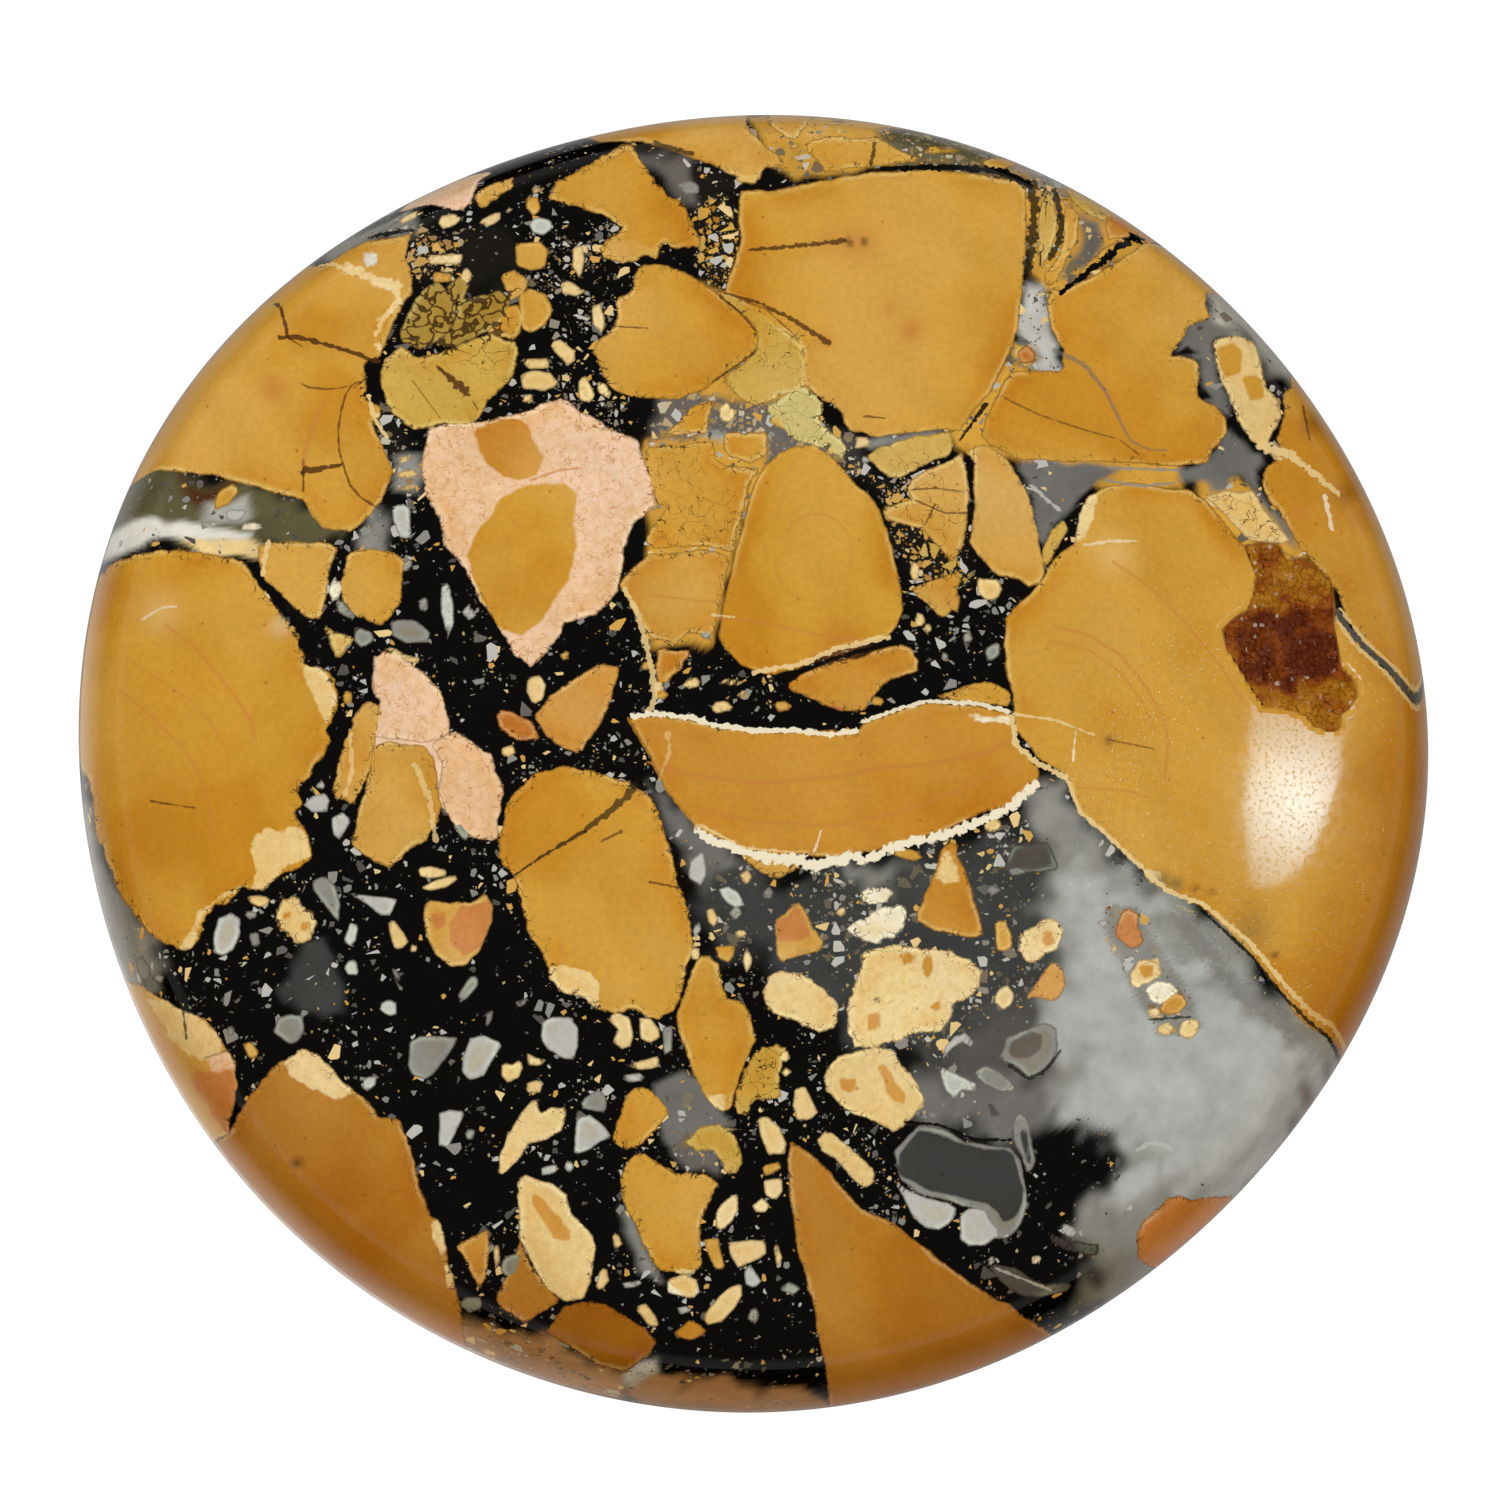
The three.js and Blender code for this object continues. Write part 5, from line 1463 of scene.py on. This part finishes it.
def deepest(tree, name, number_of_beds):
    """The depth, tone and raggedness of whichever bed lies deepest at a place."""
    first = read(tree, f"{name}_0")
    tone = read(tree, f"{name}_0_tone")
    depth, colour, ragged = first.outputs["Fac"], tone.outputs["Color"], tone.outputs["Alpha"]
    for number in range(1, number_of_beds):
        other = read(tree, f"{name}_{number}").outputs["Fac"]
        other_tone = read(tree, f"{name}_{number}_tone")
        wins = calc(tree, "GREATER_THAN", other, depth)
        colour = mix(tree, wins, colour, other_tone.outputs["Color"])
        ragged = calc(tree, "MULTIPLY_ADD", wins,
                      calc(tree, "SUBTRACT", other_tone.outputs["Alpha"], ragged), ragged)
        depth = calc(tree, "MAXIMUM", depth, other)
    return depth, colour, ragged


def broken_edge(tree, where):
    """A wandering value in pixels that crumbles an edge, coarse and fine together."""
    coarse = calc(tree, "MULTIPLY_ADD", cloudy(tree, where, 1.3, 2.0, 0.55), 16.0, -8.0)
    fine = calc(tree, "MULTIPLY_ADD", cloudy(tree, where, 5.0, 2.0, 0.55), 8.0, -4.0)
    return calc(tree, "ADD", coarse, fine)


# %% Drawn lines
def draw_lines(tree, colour, where):
    """Lays the veins and threads over a colour."""
    waver = calc(tree, "MULTIPLY_ADD", cloudy(tree, where, 5.0, 2.0), 2.8, -0.4)
    for number in range(len(sheets)):
        arrow = read(tree, f"line_{number}").outputs["Vector"]
        arrow = place(tree, "ShaderNodeSeparateXYZ", {0: arrow})
        flat = place(tree, "ShaderNodeCombineXYZ", {0: arrow.outputs[0], 1: arrow.outputs[1]})
        gap = vector_calc(tree, "LENGTH", flat.outputs[0])
        width = times(tree, arrow.outputs[2], waver)
        soft = calc(tree, "MAXIMUM", calc(tree, "MULTIPLY_ADD", arrow.outputs[2], 0.9, -2.6), 0.6)
        inside = calc(tree, "DIVIDE", calc(tree, "SUBTRACT", width, gap), soft)
        body = spread(tree, inside, -0.5, 0.5)
        near = calc(tree, "LESS_THAN", read(tree, f"line_{number}_near").outputs["Fac"],
                    calc(tree, "MULTIPLY_ADD", arrow.outputs[2], 1.6, 4.5))
        tone = read(tree, f"line_{number}_tone")
        share = times(tree, times(tree, body, near), tone.outputs["Alpha"])
        colour = mix(tree, share, colour, tone.outputs["Color"])
    return colour


# %% Put the jasper together
PALE_RIM_LIFT = (0.15, 0.19, 0.11, 1.0)
TOASTED = (0.93, 0.76, 0.46, 1.0)
# the rim's tint: a browner tone and painted shade together
BROWNED_AND_SHADED = (0.64, 0.45, 0.18, 1.0)
CAVITY_WALL = (0.4, 0.17, 0.02, 1.0)
QUARTZ_IOR = 1.54
POLISH = (0.04, 0.08)
CAVITY_ROUGHNESS = 0.4


def jasper_finish():
    """Polished breccia: ground, pieces, patches, lines, then the gloss over all of it."""
    material, tree, shader = new_finish("polished_jasper")
    where = read(tree, "unrolled").outputs["Vector"]

    broken = broken_edge(tree, where)
    ground = ground_colour(tree, where)
    depth, tone, ragged = deepest(tree, "bed", len(beds))
    edge = calc(tree, "MULTIPLY_ADD", broken, ragged, depth)
    body = spread(tree, edge, -0.7, 0.7)

    patch_depth, patch_tone, patch_ragged = deepest(tree, "patch", len(patch_beds))
    patch_edge = calc(tree, "MULTIPLY_ADD", broken, patch_ragged, patch_depth)
    tone = mix(tree, spread(tree, patch_edge, -1.2, 1.2), tone, patch_tone)
    jasper = piece_colour(tree, tone, where)

    # a pale rim just inside the edge, a toasted band behind it, and the dark edge itself
    pale_rim = times(tree, spread(tree, edge, 0.6, 2.0), spread(tree, edge, 5.5, 2.5))
    pale_rim = times(tree, pale_rim, spread(tree, cloudy(tree, where, 0.6, 1.0), 0.48, 0.62))
    lighter = mix(tree, 1.0, jasper, PALE_RIM_LIFT, "ADD")
    jasper = mix(tree, times(tree, pale_rim, 0.75), jasper, lighter)
    toasted = tinted(tree, jasper, TOASTED)
    near_edge = times(tree, spread(tree, edge, 5.0, 8.0), spread(tree, edge, 26.0, 10.0))
    near_edge = times(tree, near_edge, spread(tree, cloudy(tree, where, 0.35, 2.0), 0.45, 0.6))
    jasper = mix(tree, times(tree, near_edge, 0.5), jasper, toasted)
    dark_rim = spread(tree, edge, 2.2, 0.2)
    jasper = mix(tree, times(tree, dark_rim, 0.55), jasper, rgba("umber", 0.6))

    # cracks: where an edge is ragged, and all over where the stone is crushed
    bend = place(tree, "ShaderNodeTexNoise", {"Vector": where, "Scale": 2.0, "Detail": 2.0},
                 noise_dimensions="2D")
    bent = vector_calc(tree, "ADD", where, bend.outputs["Color"])
    crack_edge = place(tree, "ShaderNodeTexVoronoi", {"Vector": bent, "Scale": 1.8},
                       feature="DISTANCE_TO_EDGE", voronoi_dimensions="2D").outputs["Distance"]
    spikes = times(tree, spread(tree, edge, 12.0, 0.0, 0.0, 0.09), ragged)
    nets = times(tree, read(tree, "crackle").outputs["Fac"], 0.045)
    crack = calc(tree, "SUBTRACT", crack_edge, calc(tree, "MAXIMUM", spikes, nets))
    crack_share = times(tree, spread(tree, crack, 0.0, -0.015), 0.85)
    jasper = mix(tree, crack_share, jasper, rgba("umber", 0.35))
    # rusty threads in the pale pieces
    bluish = blueness(tree, tone)
    pale_share = spread(tree, bluish, 0.3, 0.42, 0.0, 0.6)
    pale_share = times(tree, pale_share, spread(tree, bluish, 0.6, 0.5))
    threads = spread(tree, crack_edge, 0.03, 0.012)
    jasper = mix(tree, times(tree, threads, pale_share), jasper, rgba("rust"))

    # the pieces on the ground, then what lies over both
    colour = mix(tree, body, ground, jasper)
    # stains, and two soft cream spots of painted reflection
    stain_and_sheen = read(tree, "stain_and_sheen")
    colour = mix(tree, stain_and_sheen.outputs["Alpha"], colour, stain_and_sheen.outputs["Color"])
    colour = draw_lines(tree, colour, where)
    # painted shade and browning: darker and browner towards the lower and right rim
    browned_and_shaded = tinted(tree, colour, BROWNED_AND_SHADED)
    colour = mix(tree, read(tree, "rim_brown_and_shade").outputs["Fac"], colour, browned_and_shaded)
    cavity = spread(tree, read(tree, "hollow").outputs["Fac"], -0.01, 0.05)
    colour = mix(tree, cavity, colour, CAVITY_WALL)
    plug(tree, shader.inputs["Base Color"], colour)

    gloss = spread(tree, cloudy(tree, where, 3.0, 2.0), 0.3, 0.7, *POLISH)
    roughness = calc(tree, "MULTIPLY_ADD", cavity, CAVITY_ROUGHNESS, gloss)
    plug(tree, shader.inputs["Roughness"], roughness)
    shader.inputs["IOR"].default_value = QUARTZ_IOR
    pits = spread(tree, cloudy(tree, where, 8.0, 1.0), 0.3, 0.36)
    bump = place(tree, "ShaderNodeBump", {"Height": pits, "Strength": 0.12, "Distance": 0.03 * MM})
    plug(tree, shader.inputs["Normal"], bump.outputs[0])
    print("jasper:", len(tree.nodes), "nodes")
    return material


stone_mesh.materials.append(jasper_finish())
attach(stone_piece, "root")
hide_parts("stone")

# %% [markdown]
# ## The crystals in the hollow
# Iron-stained quartz lines the hollow: a lumpy bed with hundreds of tiny six-sided points. The
# bed is a small grid that follows the dome a little lower down, and each point is a six-sided
# column with a six-sided tip, welded together and closed at the foot. They are real little
# shapes, because only facets that face different ways glitter.

# %% The lumpy bed
BED_STEPS = (64, 88)
BED_MARGIN = 0.15
BED_AT_RIM = 0.07
BED_DROP = 0.45
BED_SLOPE = 1.1
LUMP_HEIGHT = 0.2
bed_low = HOLLOW_RIM.min(axis=0) - BED_MARGIN
bed_high = HOLLOW_RIM.max(axis=0) + BED_MARGIN


def bed_depth(flat):
    """How far the crystal bed lies below the dome: shallow at the rim, deeper in the middle."""
    inside = depth_inside(flat, HOLLOW_RIM)
    lumps = 0.5 + 0.28 * gentle_wave(flat, 21, 1.3) + 0.2 * gentle_wave(flat, 22, 0.6)
    fall = BED_AT_RIM + BED_DROP * smooth_step(0, BED_SLOPE, inside)
    return fall + LUMP_HEIGHT * lumps * smooth_step(-0.1, 0.4, inside)


lining = bmesh.new()
middle = (bed_low + bed_high) / 2
stretch = (bed_high - bed_low) / 2
bmesh.ops.create_grid(lining, x_segments=BED_STEPS[0], y_segments=BED_STEPS[1], size=1.0)
bmesh.ops.scale(lining, vec=(*stretch, 1.0), verts=lining.verts)
bmesh.ops.translate(lining, vec=(*middle, 0.0), verts=lining.verts)
flat = np.array([vert.co[:2] for vert in lining.verts])
heights = dome_height(flat) - bed_depth(flat)
for vert, lift in zip(lining.verts, heights):
    vert.co.z = lift
far = depth_inside(flat, HOLLOW_RIM) < 0.02
outside = [vert for vert, gone in zip(lining.verts, far) if gone]
bmesh.ops.delete(lining, geom=outside, context="VERTS")
for face in lining.faces:
    face.smooth = True
print("crystal bed:", len(lining.faces), "faces")

# %% The crystal points
POINT_SEED = 5
POINT_SPACING = 0.15
ROW_SHARE = 0.87
POINT_SCATTER = 0.09
POINT_RADIUS = (0.045, 0.17)
COLUMN_SHARE = (0.1, 0.7)
COLUMN_TAPER = 0.95
POINT_LEAN = 0.45
FOOT_SUNK = 0.4
RIM_CLEARANCE = 0.04
WELD = 1e-4
HALF_TURN = 3.14
chance = np.random.default_rng(POINT_SEED)
rows = np.arange(bed_low[1], bed_high[1], POINT_SPACING * ROW_SHARE)
places_in_row = np.arange(bed_low[0], bed_high[0], POINT_SPACING)
spots = np.array([(x + chance.uniform(-POINT_SCATTER, POINT_SCATTER) + (row % 2) * POINT_SPACING / 2,
                   y + chance.uniform(-POINT_SCATTER, POINT_SCATTER))
                  for row, y in enumerate(rows) for x in places_in_row])
spots = spots[depth_inside(spots, HOLLOW_RIM) > RIM_CLEARANCE]
feet = dome_height(spots) - bed_depth(spots)
for (x, y), foot in zip(spots, feet):
    size = chance.uniform(*POINT_RADIUS)
    column = size * chance.uniform(*COLUMN_SHARE)
    lean = Euler((chance.normal(0, POINT_LEAN), chance.normal(0, POINT_LEAN),
                  chance.uniform(0, HALF_TURN)))
    stand = Matrix.Translation((x, y, foot - size * FOOT_SUNK)) @ lean.to_matrix().to_4x4()
    bmesh.ops.create_cone(
        lining, cap_ends=False, segments=6, radius1=size, radius2=size * COLUMN_TAPER,
        depth=column, matrix=stand @ Matrix.Translation((0, 0, column / 2)))
    bmesh.ops.create_cone(
        lining, cap_ends=False, segments=6, radius1=size * COLUMN_TAPER, radius2=0.0,
        depth=size, matrix=stand @ Matrix.Translation((0, 0, column + size / 2)))
bmesh.ops.remove_doubles(lining, verts=lining.verts, dist=WELD)
open_feet = [edge for edge in lining.edges if edge.is_boundary]
bmesh.ops.holes_fill(lining, edges=open_feet, sides=6)
facets = [face for face in lining.faces if not face.smooth]
bmesh.ops.recalc_face_normals(lining, faces=facets)
print(len(spots), "crystal points,", len(facets), "facets")

# %% Put the lining in its place
BELOW_POLISH = 0.02
DARK_HEART_PX = (1288, 648)
DARK_HEART_SIZE = (54, 42)
lining_mesh = mesh_of(lining, "crystal_lining")
lining_mm = points_of(lining_mesh)
lining_mm[:, 2] = np.minimum(lining_mm[:, 2], dome_height(lining_mm) - BELOW_POLISH)
crystal_px = photo_pixels(lining_mm)
heart = np.sqrt((((crystal_px - DARK_HEART_PX) / DARK_HEART_SIZE) ** 2).sum(axis=1))
amber_share = smooth_step(0.7, 1.35, heart + 0.2 * gentle_wave(lining_mm[:, :2], 31, 1.0))
keep(lining_mesh, "amber", amber_share)
lining_mesh.vertices.foreach_set("co", (lining_mm * MM).ravel())
lining_mesh.update()
lining_piece = put_in_scene("crystal_lining", lining_mesh)
print("crystal lining:", len(lining_mesh.polygons), "faces")

# %% [markdown]
# ## The crystal finish
# Quartz is clear, and the iron in it colours it amber where it is thin and red-brown where it is thick.
# So the material lets some light through, and its tint goes from dark in the middle of the hollow
# through orange to amber near its ends. Here and there a pale speck is painted into the tint: a painted
# glint.

# %% Amber quartz
DARK_TINT = (0.17, 0.028, 0.007, 1)
ORANGE_TINT = (0.42, 0.1, 0.008, 1)
AMBER_TINT = (0.6, 0.26, 0.014, 1)
PAINTED_GLINT_TINT = (0.86, 0.68, 0.5, 1)
PAINTED_GLINT_SHARE = 0.14
PER_MM = (1 / MM, 1 / MM, 1 / MM)


def amber_finish():
    """Stained quartz with a glassy surface."""
    material, tree, shader = new_finish("amber_quartz")
    own = place(tree, "ShaderNodeTexCoord", {}).outputs["Object"]
    where = place(tree, "ShaderNodeMapping", {"Vector": own, "Scale": PER_MM}).outputs[0]
    patchy = place(tree, "ShaderNodeTexNoise", {"Vector": where, "Scale": 1.5, "Detail": 5.0})
    patchy = spread(tree, patchy.outputs[0], 0.35, 0.65, -0.4, 0.4)
    share = calc(tree, "ADD", read(tree, "amber").outputs["Fac"], patchy)
    tint = mix(tree, spread(tree, share, 0.0, 0.7), DARK_TINT, ORANGE_TINT)
    tint = mix(tree, spread(tree, share, 0.6, 1.3), tint, AMBER_TINT)
    # painted glints: a few pale specks in the tint that stand in for sparkle
    glint_cells = place(tree, "ShaderNodeTexVoronoi", {"Vector": where, "Scale": 4.5})
    pick = parts_of(tree, glint_cells.outputs["Color"])[0]
    painted_glint = calc(tree, "GREATER_THAN", pick, 1 - PAINTED_GLINT_SHARE)
    painted_glint = times(tree, painted_glint, spread(tree, glint_cells.outputs["Distance"], 0.4, 0.25))
    tint = mix(tree, times(tree, painted_glint, 0.75), tint, PAINTED_GLINT_TINT)
    plug(tree, shader.inputs["Base Color"], tint)
    shader.inputs["Roughness"].default_value = 0.08
    shader.inputs["IOR"].default_value = QUARTZ_IOR
    shader.inputs["Transmission Weight"].default_value = 0.25
    growth = place(tree, "ShaderNodeTexNoise", {"Vector": where, "Scale": 9.0, "Detail": 2.0})
    steps = place(tree, "ShaderNodeBump", {"Height": growth.outputs[0], "Strength": 0.6,
                                           "Distance": 0.04 * MM})
    plug(tree, shader.inputs["Normal"], steps.outputs[0])
    print("amber quartz:", len(tree.nodes), "nodes")
    return material


lining_mesh.materials.append(amber_finish())
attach(lining_piece, "root")
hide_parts("druse_crust")

# %% [markdown]
# ## Floor and light
# The stone lies on a plain white table in even daylight, a little stronger from the upper
# left. A polarising filter on the lens, as gem photographers use, takes most of the room's
# mirror image off the gloss, so that the black stays black. The world's shader does the same: it
# gives mirrored rays a darker room. Only the table close by stays bright in the polish, most of
# all towards the lower left, where it leaves a pale sheen along the foot of the wall. The table
# itself glows faintly, so that it comes out as white as the photo's background.

# %% Floor
TABLE_HALF = 1.5
TABLE_GAP = 0.02 * MM
TABLE_GREY = (0.25, 0.25, 0.25, 1)
TABLE_GLOW = 0.9
floor_shape = bmesh.new()
bmesh.ops.create_grid(floor_shape, x_segments=1, y_segments=1, size=TABLE_HALF)
floor_mesh = mesh_of(floor_shape, "white_table")
floor = put_in_scene("white_table", floor_mesh)
floor.location.z = -TABLE_GAP
floor_finish, tree, table = new_finish("white_table")
table.inputs["Base Color"].default_value = TABLE_GREY
table.inputs["Roughness"].default_value = 0.9
table.inputs["Specular IOR Level"].default_value = 0.0
table.inputs["Emission Color"].default_value = (1, 1, 1, 1)
table.inputs["Emission Strength"].default_value = TABLE_GLOW
floor_mesh.materials.append(floor_finish)
floor.visible_diffuse = False
floor.visible_glossy = False
floor.visible_transmission = False
floor.visible_shadow = False
print("table", 2 * TABLE_HALF, "m wide,", round(TABLE_GAP / MM, 3), "mm below the stone")

# %% The room's light
DAYLIGHT_WAY = Vector((-0.28, 0.16, 0.95)).normalized()
DAYLIGHT_EVEN = 0.66
DAYLIGHT_LEAN = 0.56
DAYLIGHT_LEAST = 0.1
FLOOR_LIGHT = 0.75
MIRRORED_TOP = 0.05
MIRRORED_SIDES = 0.28
MIRRORED_FLOOR_DIM = 0.26
MIRRORED_FLOOR_BRIGHT = 0.85
BRIGHT_FLOOR_WAY = (-0.94, -0.34, 0.0)
world = bpy.data.worlds.new("room_light")
bpy.context.scene.world = world
world.use_nodes = True
sky = world.node_tree
way = place(sky, "ShaderNodeTexCoord", {}).outputs["Generated"]
rise = place(sky, "ShaderNodeSeparateXYZ", {0: way}).outputs[2]
toward_day = vector_calc(sky, "DOT_PRODUCT", way, DAYLIGHT_WAY)
is_above = spread(sky, rise, -0.02, 0.02)
daylight = calc(sky, "MULTIPLY_ADD", toward_day, DAYLIGHT_LEAN, DAYLIGHT_EVEN)
daylight = calc(sky, "MAXIMUM", daylight, DAYLIGHT_LEAST)
day_and_floor = spread(sky, is_above, 0.0, 1.0, FLOOR_LIGHT, daylight)
sides = spread(sky, rise, 0.62, 0.3, MIRRORED_TOP, MIRRORED_SIDES, "SMOOTHSTEP")
level_way = vector_calc(sky, "NORMALIZE", vector_calc(sky, "MULTIPLY", way, (1.0, 1.0, 0.0)))
toward_bright = vector_calc(sky, "DOT_PRODUCT", level_way, BRIGHT_FLOOR_WAY)
below = spread(sky, toward_bright, 0.3, 0.85, MIRRORED_FLOOR_DIM, MIRRORED_FLOOR_BRIGHT)
below = times(sky, below, spread(sky, rise, -0.68, -0.94, 0.0, 1.1))
mirrored = spread(sky, is_above, 0.0, 1.0, below, sides)
is_mirrored = place(sky, "ShaderNodeLightPath", {}).outputs["Is Glossy Ray"]
strength = spread(sky, is_mirrored, 0.0, 1.0, day_and_floor, mirrored)
back_light = sky.nodes["Background"]
back_light.inputs["Color"].default_value = (1, 0.99, 0.97, 1)
plug(sky, back_light.inputs["Strength"], strength)
print("room light:", len(sky.nodes), "nodes")

# %% [markdown]
# ## The softbox's place
# Its reflection is a tall bright patch near the right edge, straight on the left, curved on
# the right. The outline of that patch is followed back: from each of its corners the ray of
# sight bounces off the dome and meets a plane, and there is the corner of the softbox.

# %% The softbox's outline from its reflection
REFLECTION_PX = corners_of(
    "1256,690 1300,690 1335,712 1341,745 1340,775 1334,799 1326,822 1314,848 1298,872 1283,884 "
    "1266,888 1256,885 1250,872 1249,847 1248,806 1250,770 1254,740")
SOFTBOX_DISTANCE = 1.2
SOFTBOX_TONE = (0.62, 0.86, 1.0, 1)
BRIGHT_CORE_PX = (1300, 800)
CORE_REACH = 0.14
CORE_STRENGTH = 15.5
OUTER_STRENGTH = 5.0
SLOPE_STEP = 0.01


def polish_height(x, y):
    """The height of the dome before the hollow, with the outline's swellings."""
    reach = math.hypot(x, y) / outline_scale(math.atan2(y, x))
    return dome_centre[1] + math.sqrt(DOME_RADIUS ** 2 - reach ** 2)


def bounce(pixel):
    """The place on the polish that shows at a pixel, and the way its reflection goes."""
    x, y = stone_mm[((flat_px - pixel) ** 2).sum(axis=1).argmin(), :2]
    rise_x = polish_height(x + SLOPE_STEP, y) - polish_height(x - SLOPE_STEP, y)
    rise_y = polish_height(x, y + SLOPE_STEP) - polish_height(x, y - SLOPE_STEP)
    slope_x, slope_y = rise_x / (2 * SLOPE_STEP), rise_y / (2 * SLOPE_STEP)
    normal = np.array([-slope_x, -slope_y, 1.0])
    normal /= np.linalg.norm(normal)
    spot = np.array([x, y, polish_height(x, y)])
    sight = spot - camera_aim - camera_back * CAMERA_DISTANCE_MM
    sight /= np.linalg.norm(sight)
    return spot, sight - 2 * (sight @ normal) * normal


bounced = [bounce(pixel) for pixel in REFLECTION_PX]
softbox_way = np.mean([way for _, way in bounced], axis=0)
softbox_way /= np.linalg.norm(softbox_way)


def on_softbox(spot, way):
    """Where a mirrored ray meets the softbox's plane, in metres."""
    start = spot * MM
    return start + way * (SOFTBOX_DISTANCE - start @ softbox_way) / (way @ softbox_way)


softbox_shape = bmesh.new()
softbox_shape.faces.new([softbox_shape.verts.new(on_softbox(*ray)) for ray in bounced])
softbox_mesh = mesh_of(softbox_shape, "softbox")
softbox = put_in_scene("softbox", softbox_mesh)
softbox_finish, tree, glow = new_finish("softbox")
glow.inputs["Base Color"].default_value = (0, 0, 0, 1)
glow.inputs["Emission Color"].default_value = SOFTBOX_TONE
core = on_softbox(*bounce(np.array(BRIGHT_CORE_PX)))
own = place(tree, "ShaderNodeTexCoord", {}).outputs["Object"]
gap = vector_calc(tree, "DISTANCE", own, core)
glow_strength = spread(tree, gap, 0.0, CORE_REACH, CORE_STRENGTH, OUTER_STRENGTH, "SMOOTHSTEP")
plug(tree, glow.inputs["Emission Strength"], glow_strength)
softbox_mesh.materials.append(softbox_finish)
softbox.visible_camera = False
print("the softbox stands towards", softbox_way.round(3))

# %% [markdown]
# ## The camera
# The camera is made from the direction and scale at the start of the lesson. It is far away and
# has a long lens, so it shows the stone as the photo does, with hardly any perspective. The plain
# Standard view keeps the colours as they are mixed.

# %% Camera
SENSOR_WIDTH_MM = 36.0
NEAREST_SEEN = 0.01
FARTHEST_SEEN = 10.0
camera_data = bpy.data.cameras.new("camera")
camera_data.sensor_width = SENSOR_WIDTH_MM
camera_data.lens = SENSOR_WIDTH_MM * CAMERA_DISTANCE_MM * PIXELS_PER_MM / PHOTO_SIZE
camera_data.clip_start = NEAREST_SEEN
camera_data.clip_end = FARTHEST_SEEN
camera = put_in_scene("camera", camera_data)
turn = Matrix((camera_right, camera_up, camera_back)).transposed().to_4x4()
camera.matrix_world = Matrix.Translation((camera_aim + camera_back * CAMERA_DISTANCE_MM) * MM) @ turn
bpy.context.scene.camera = camera
bpy.context.scene.view_settings.view_transform = "Standard"
print("lens", round(camera_data.lens, 1), "mm")
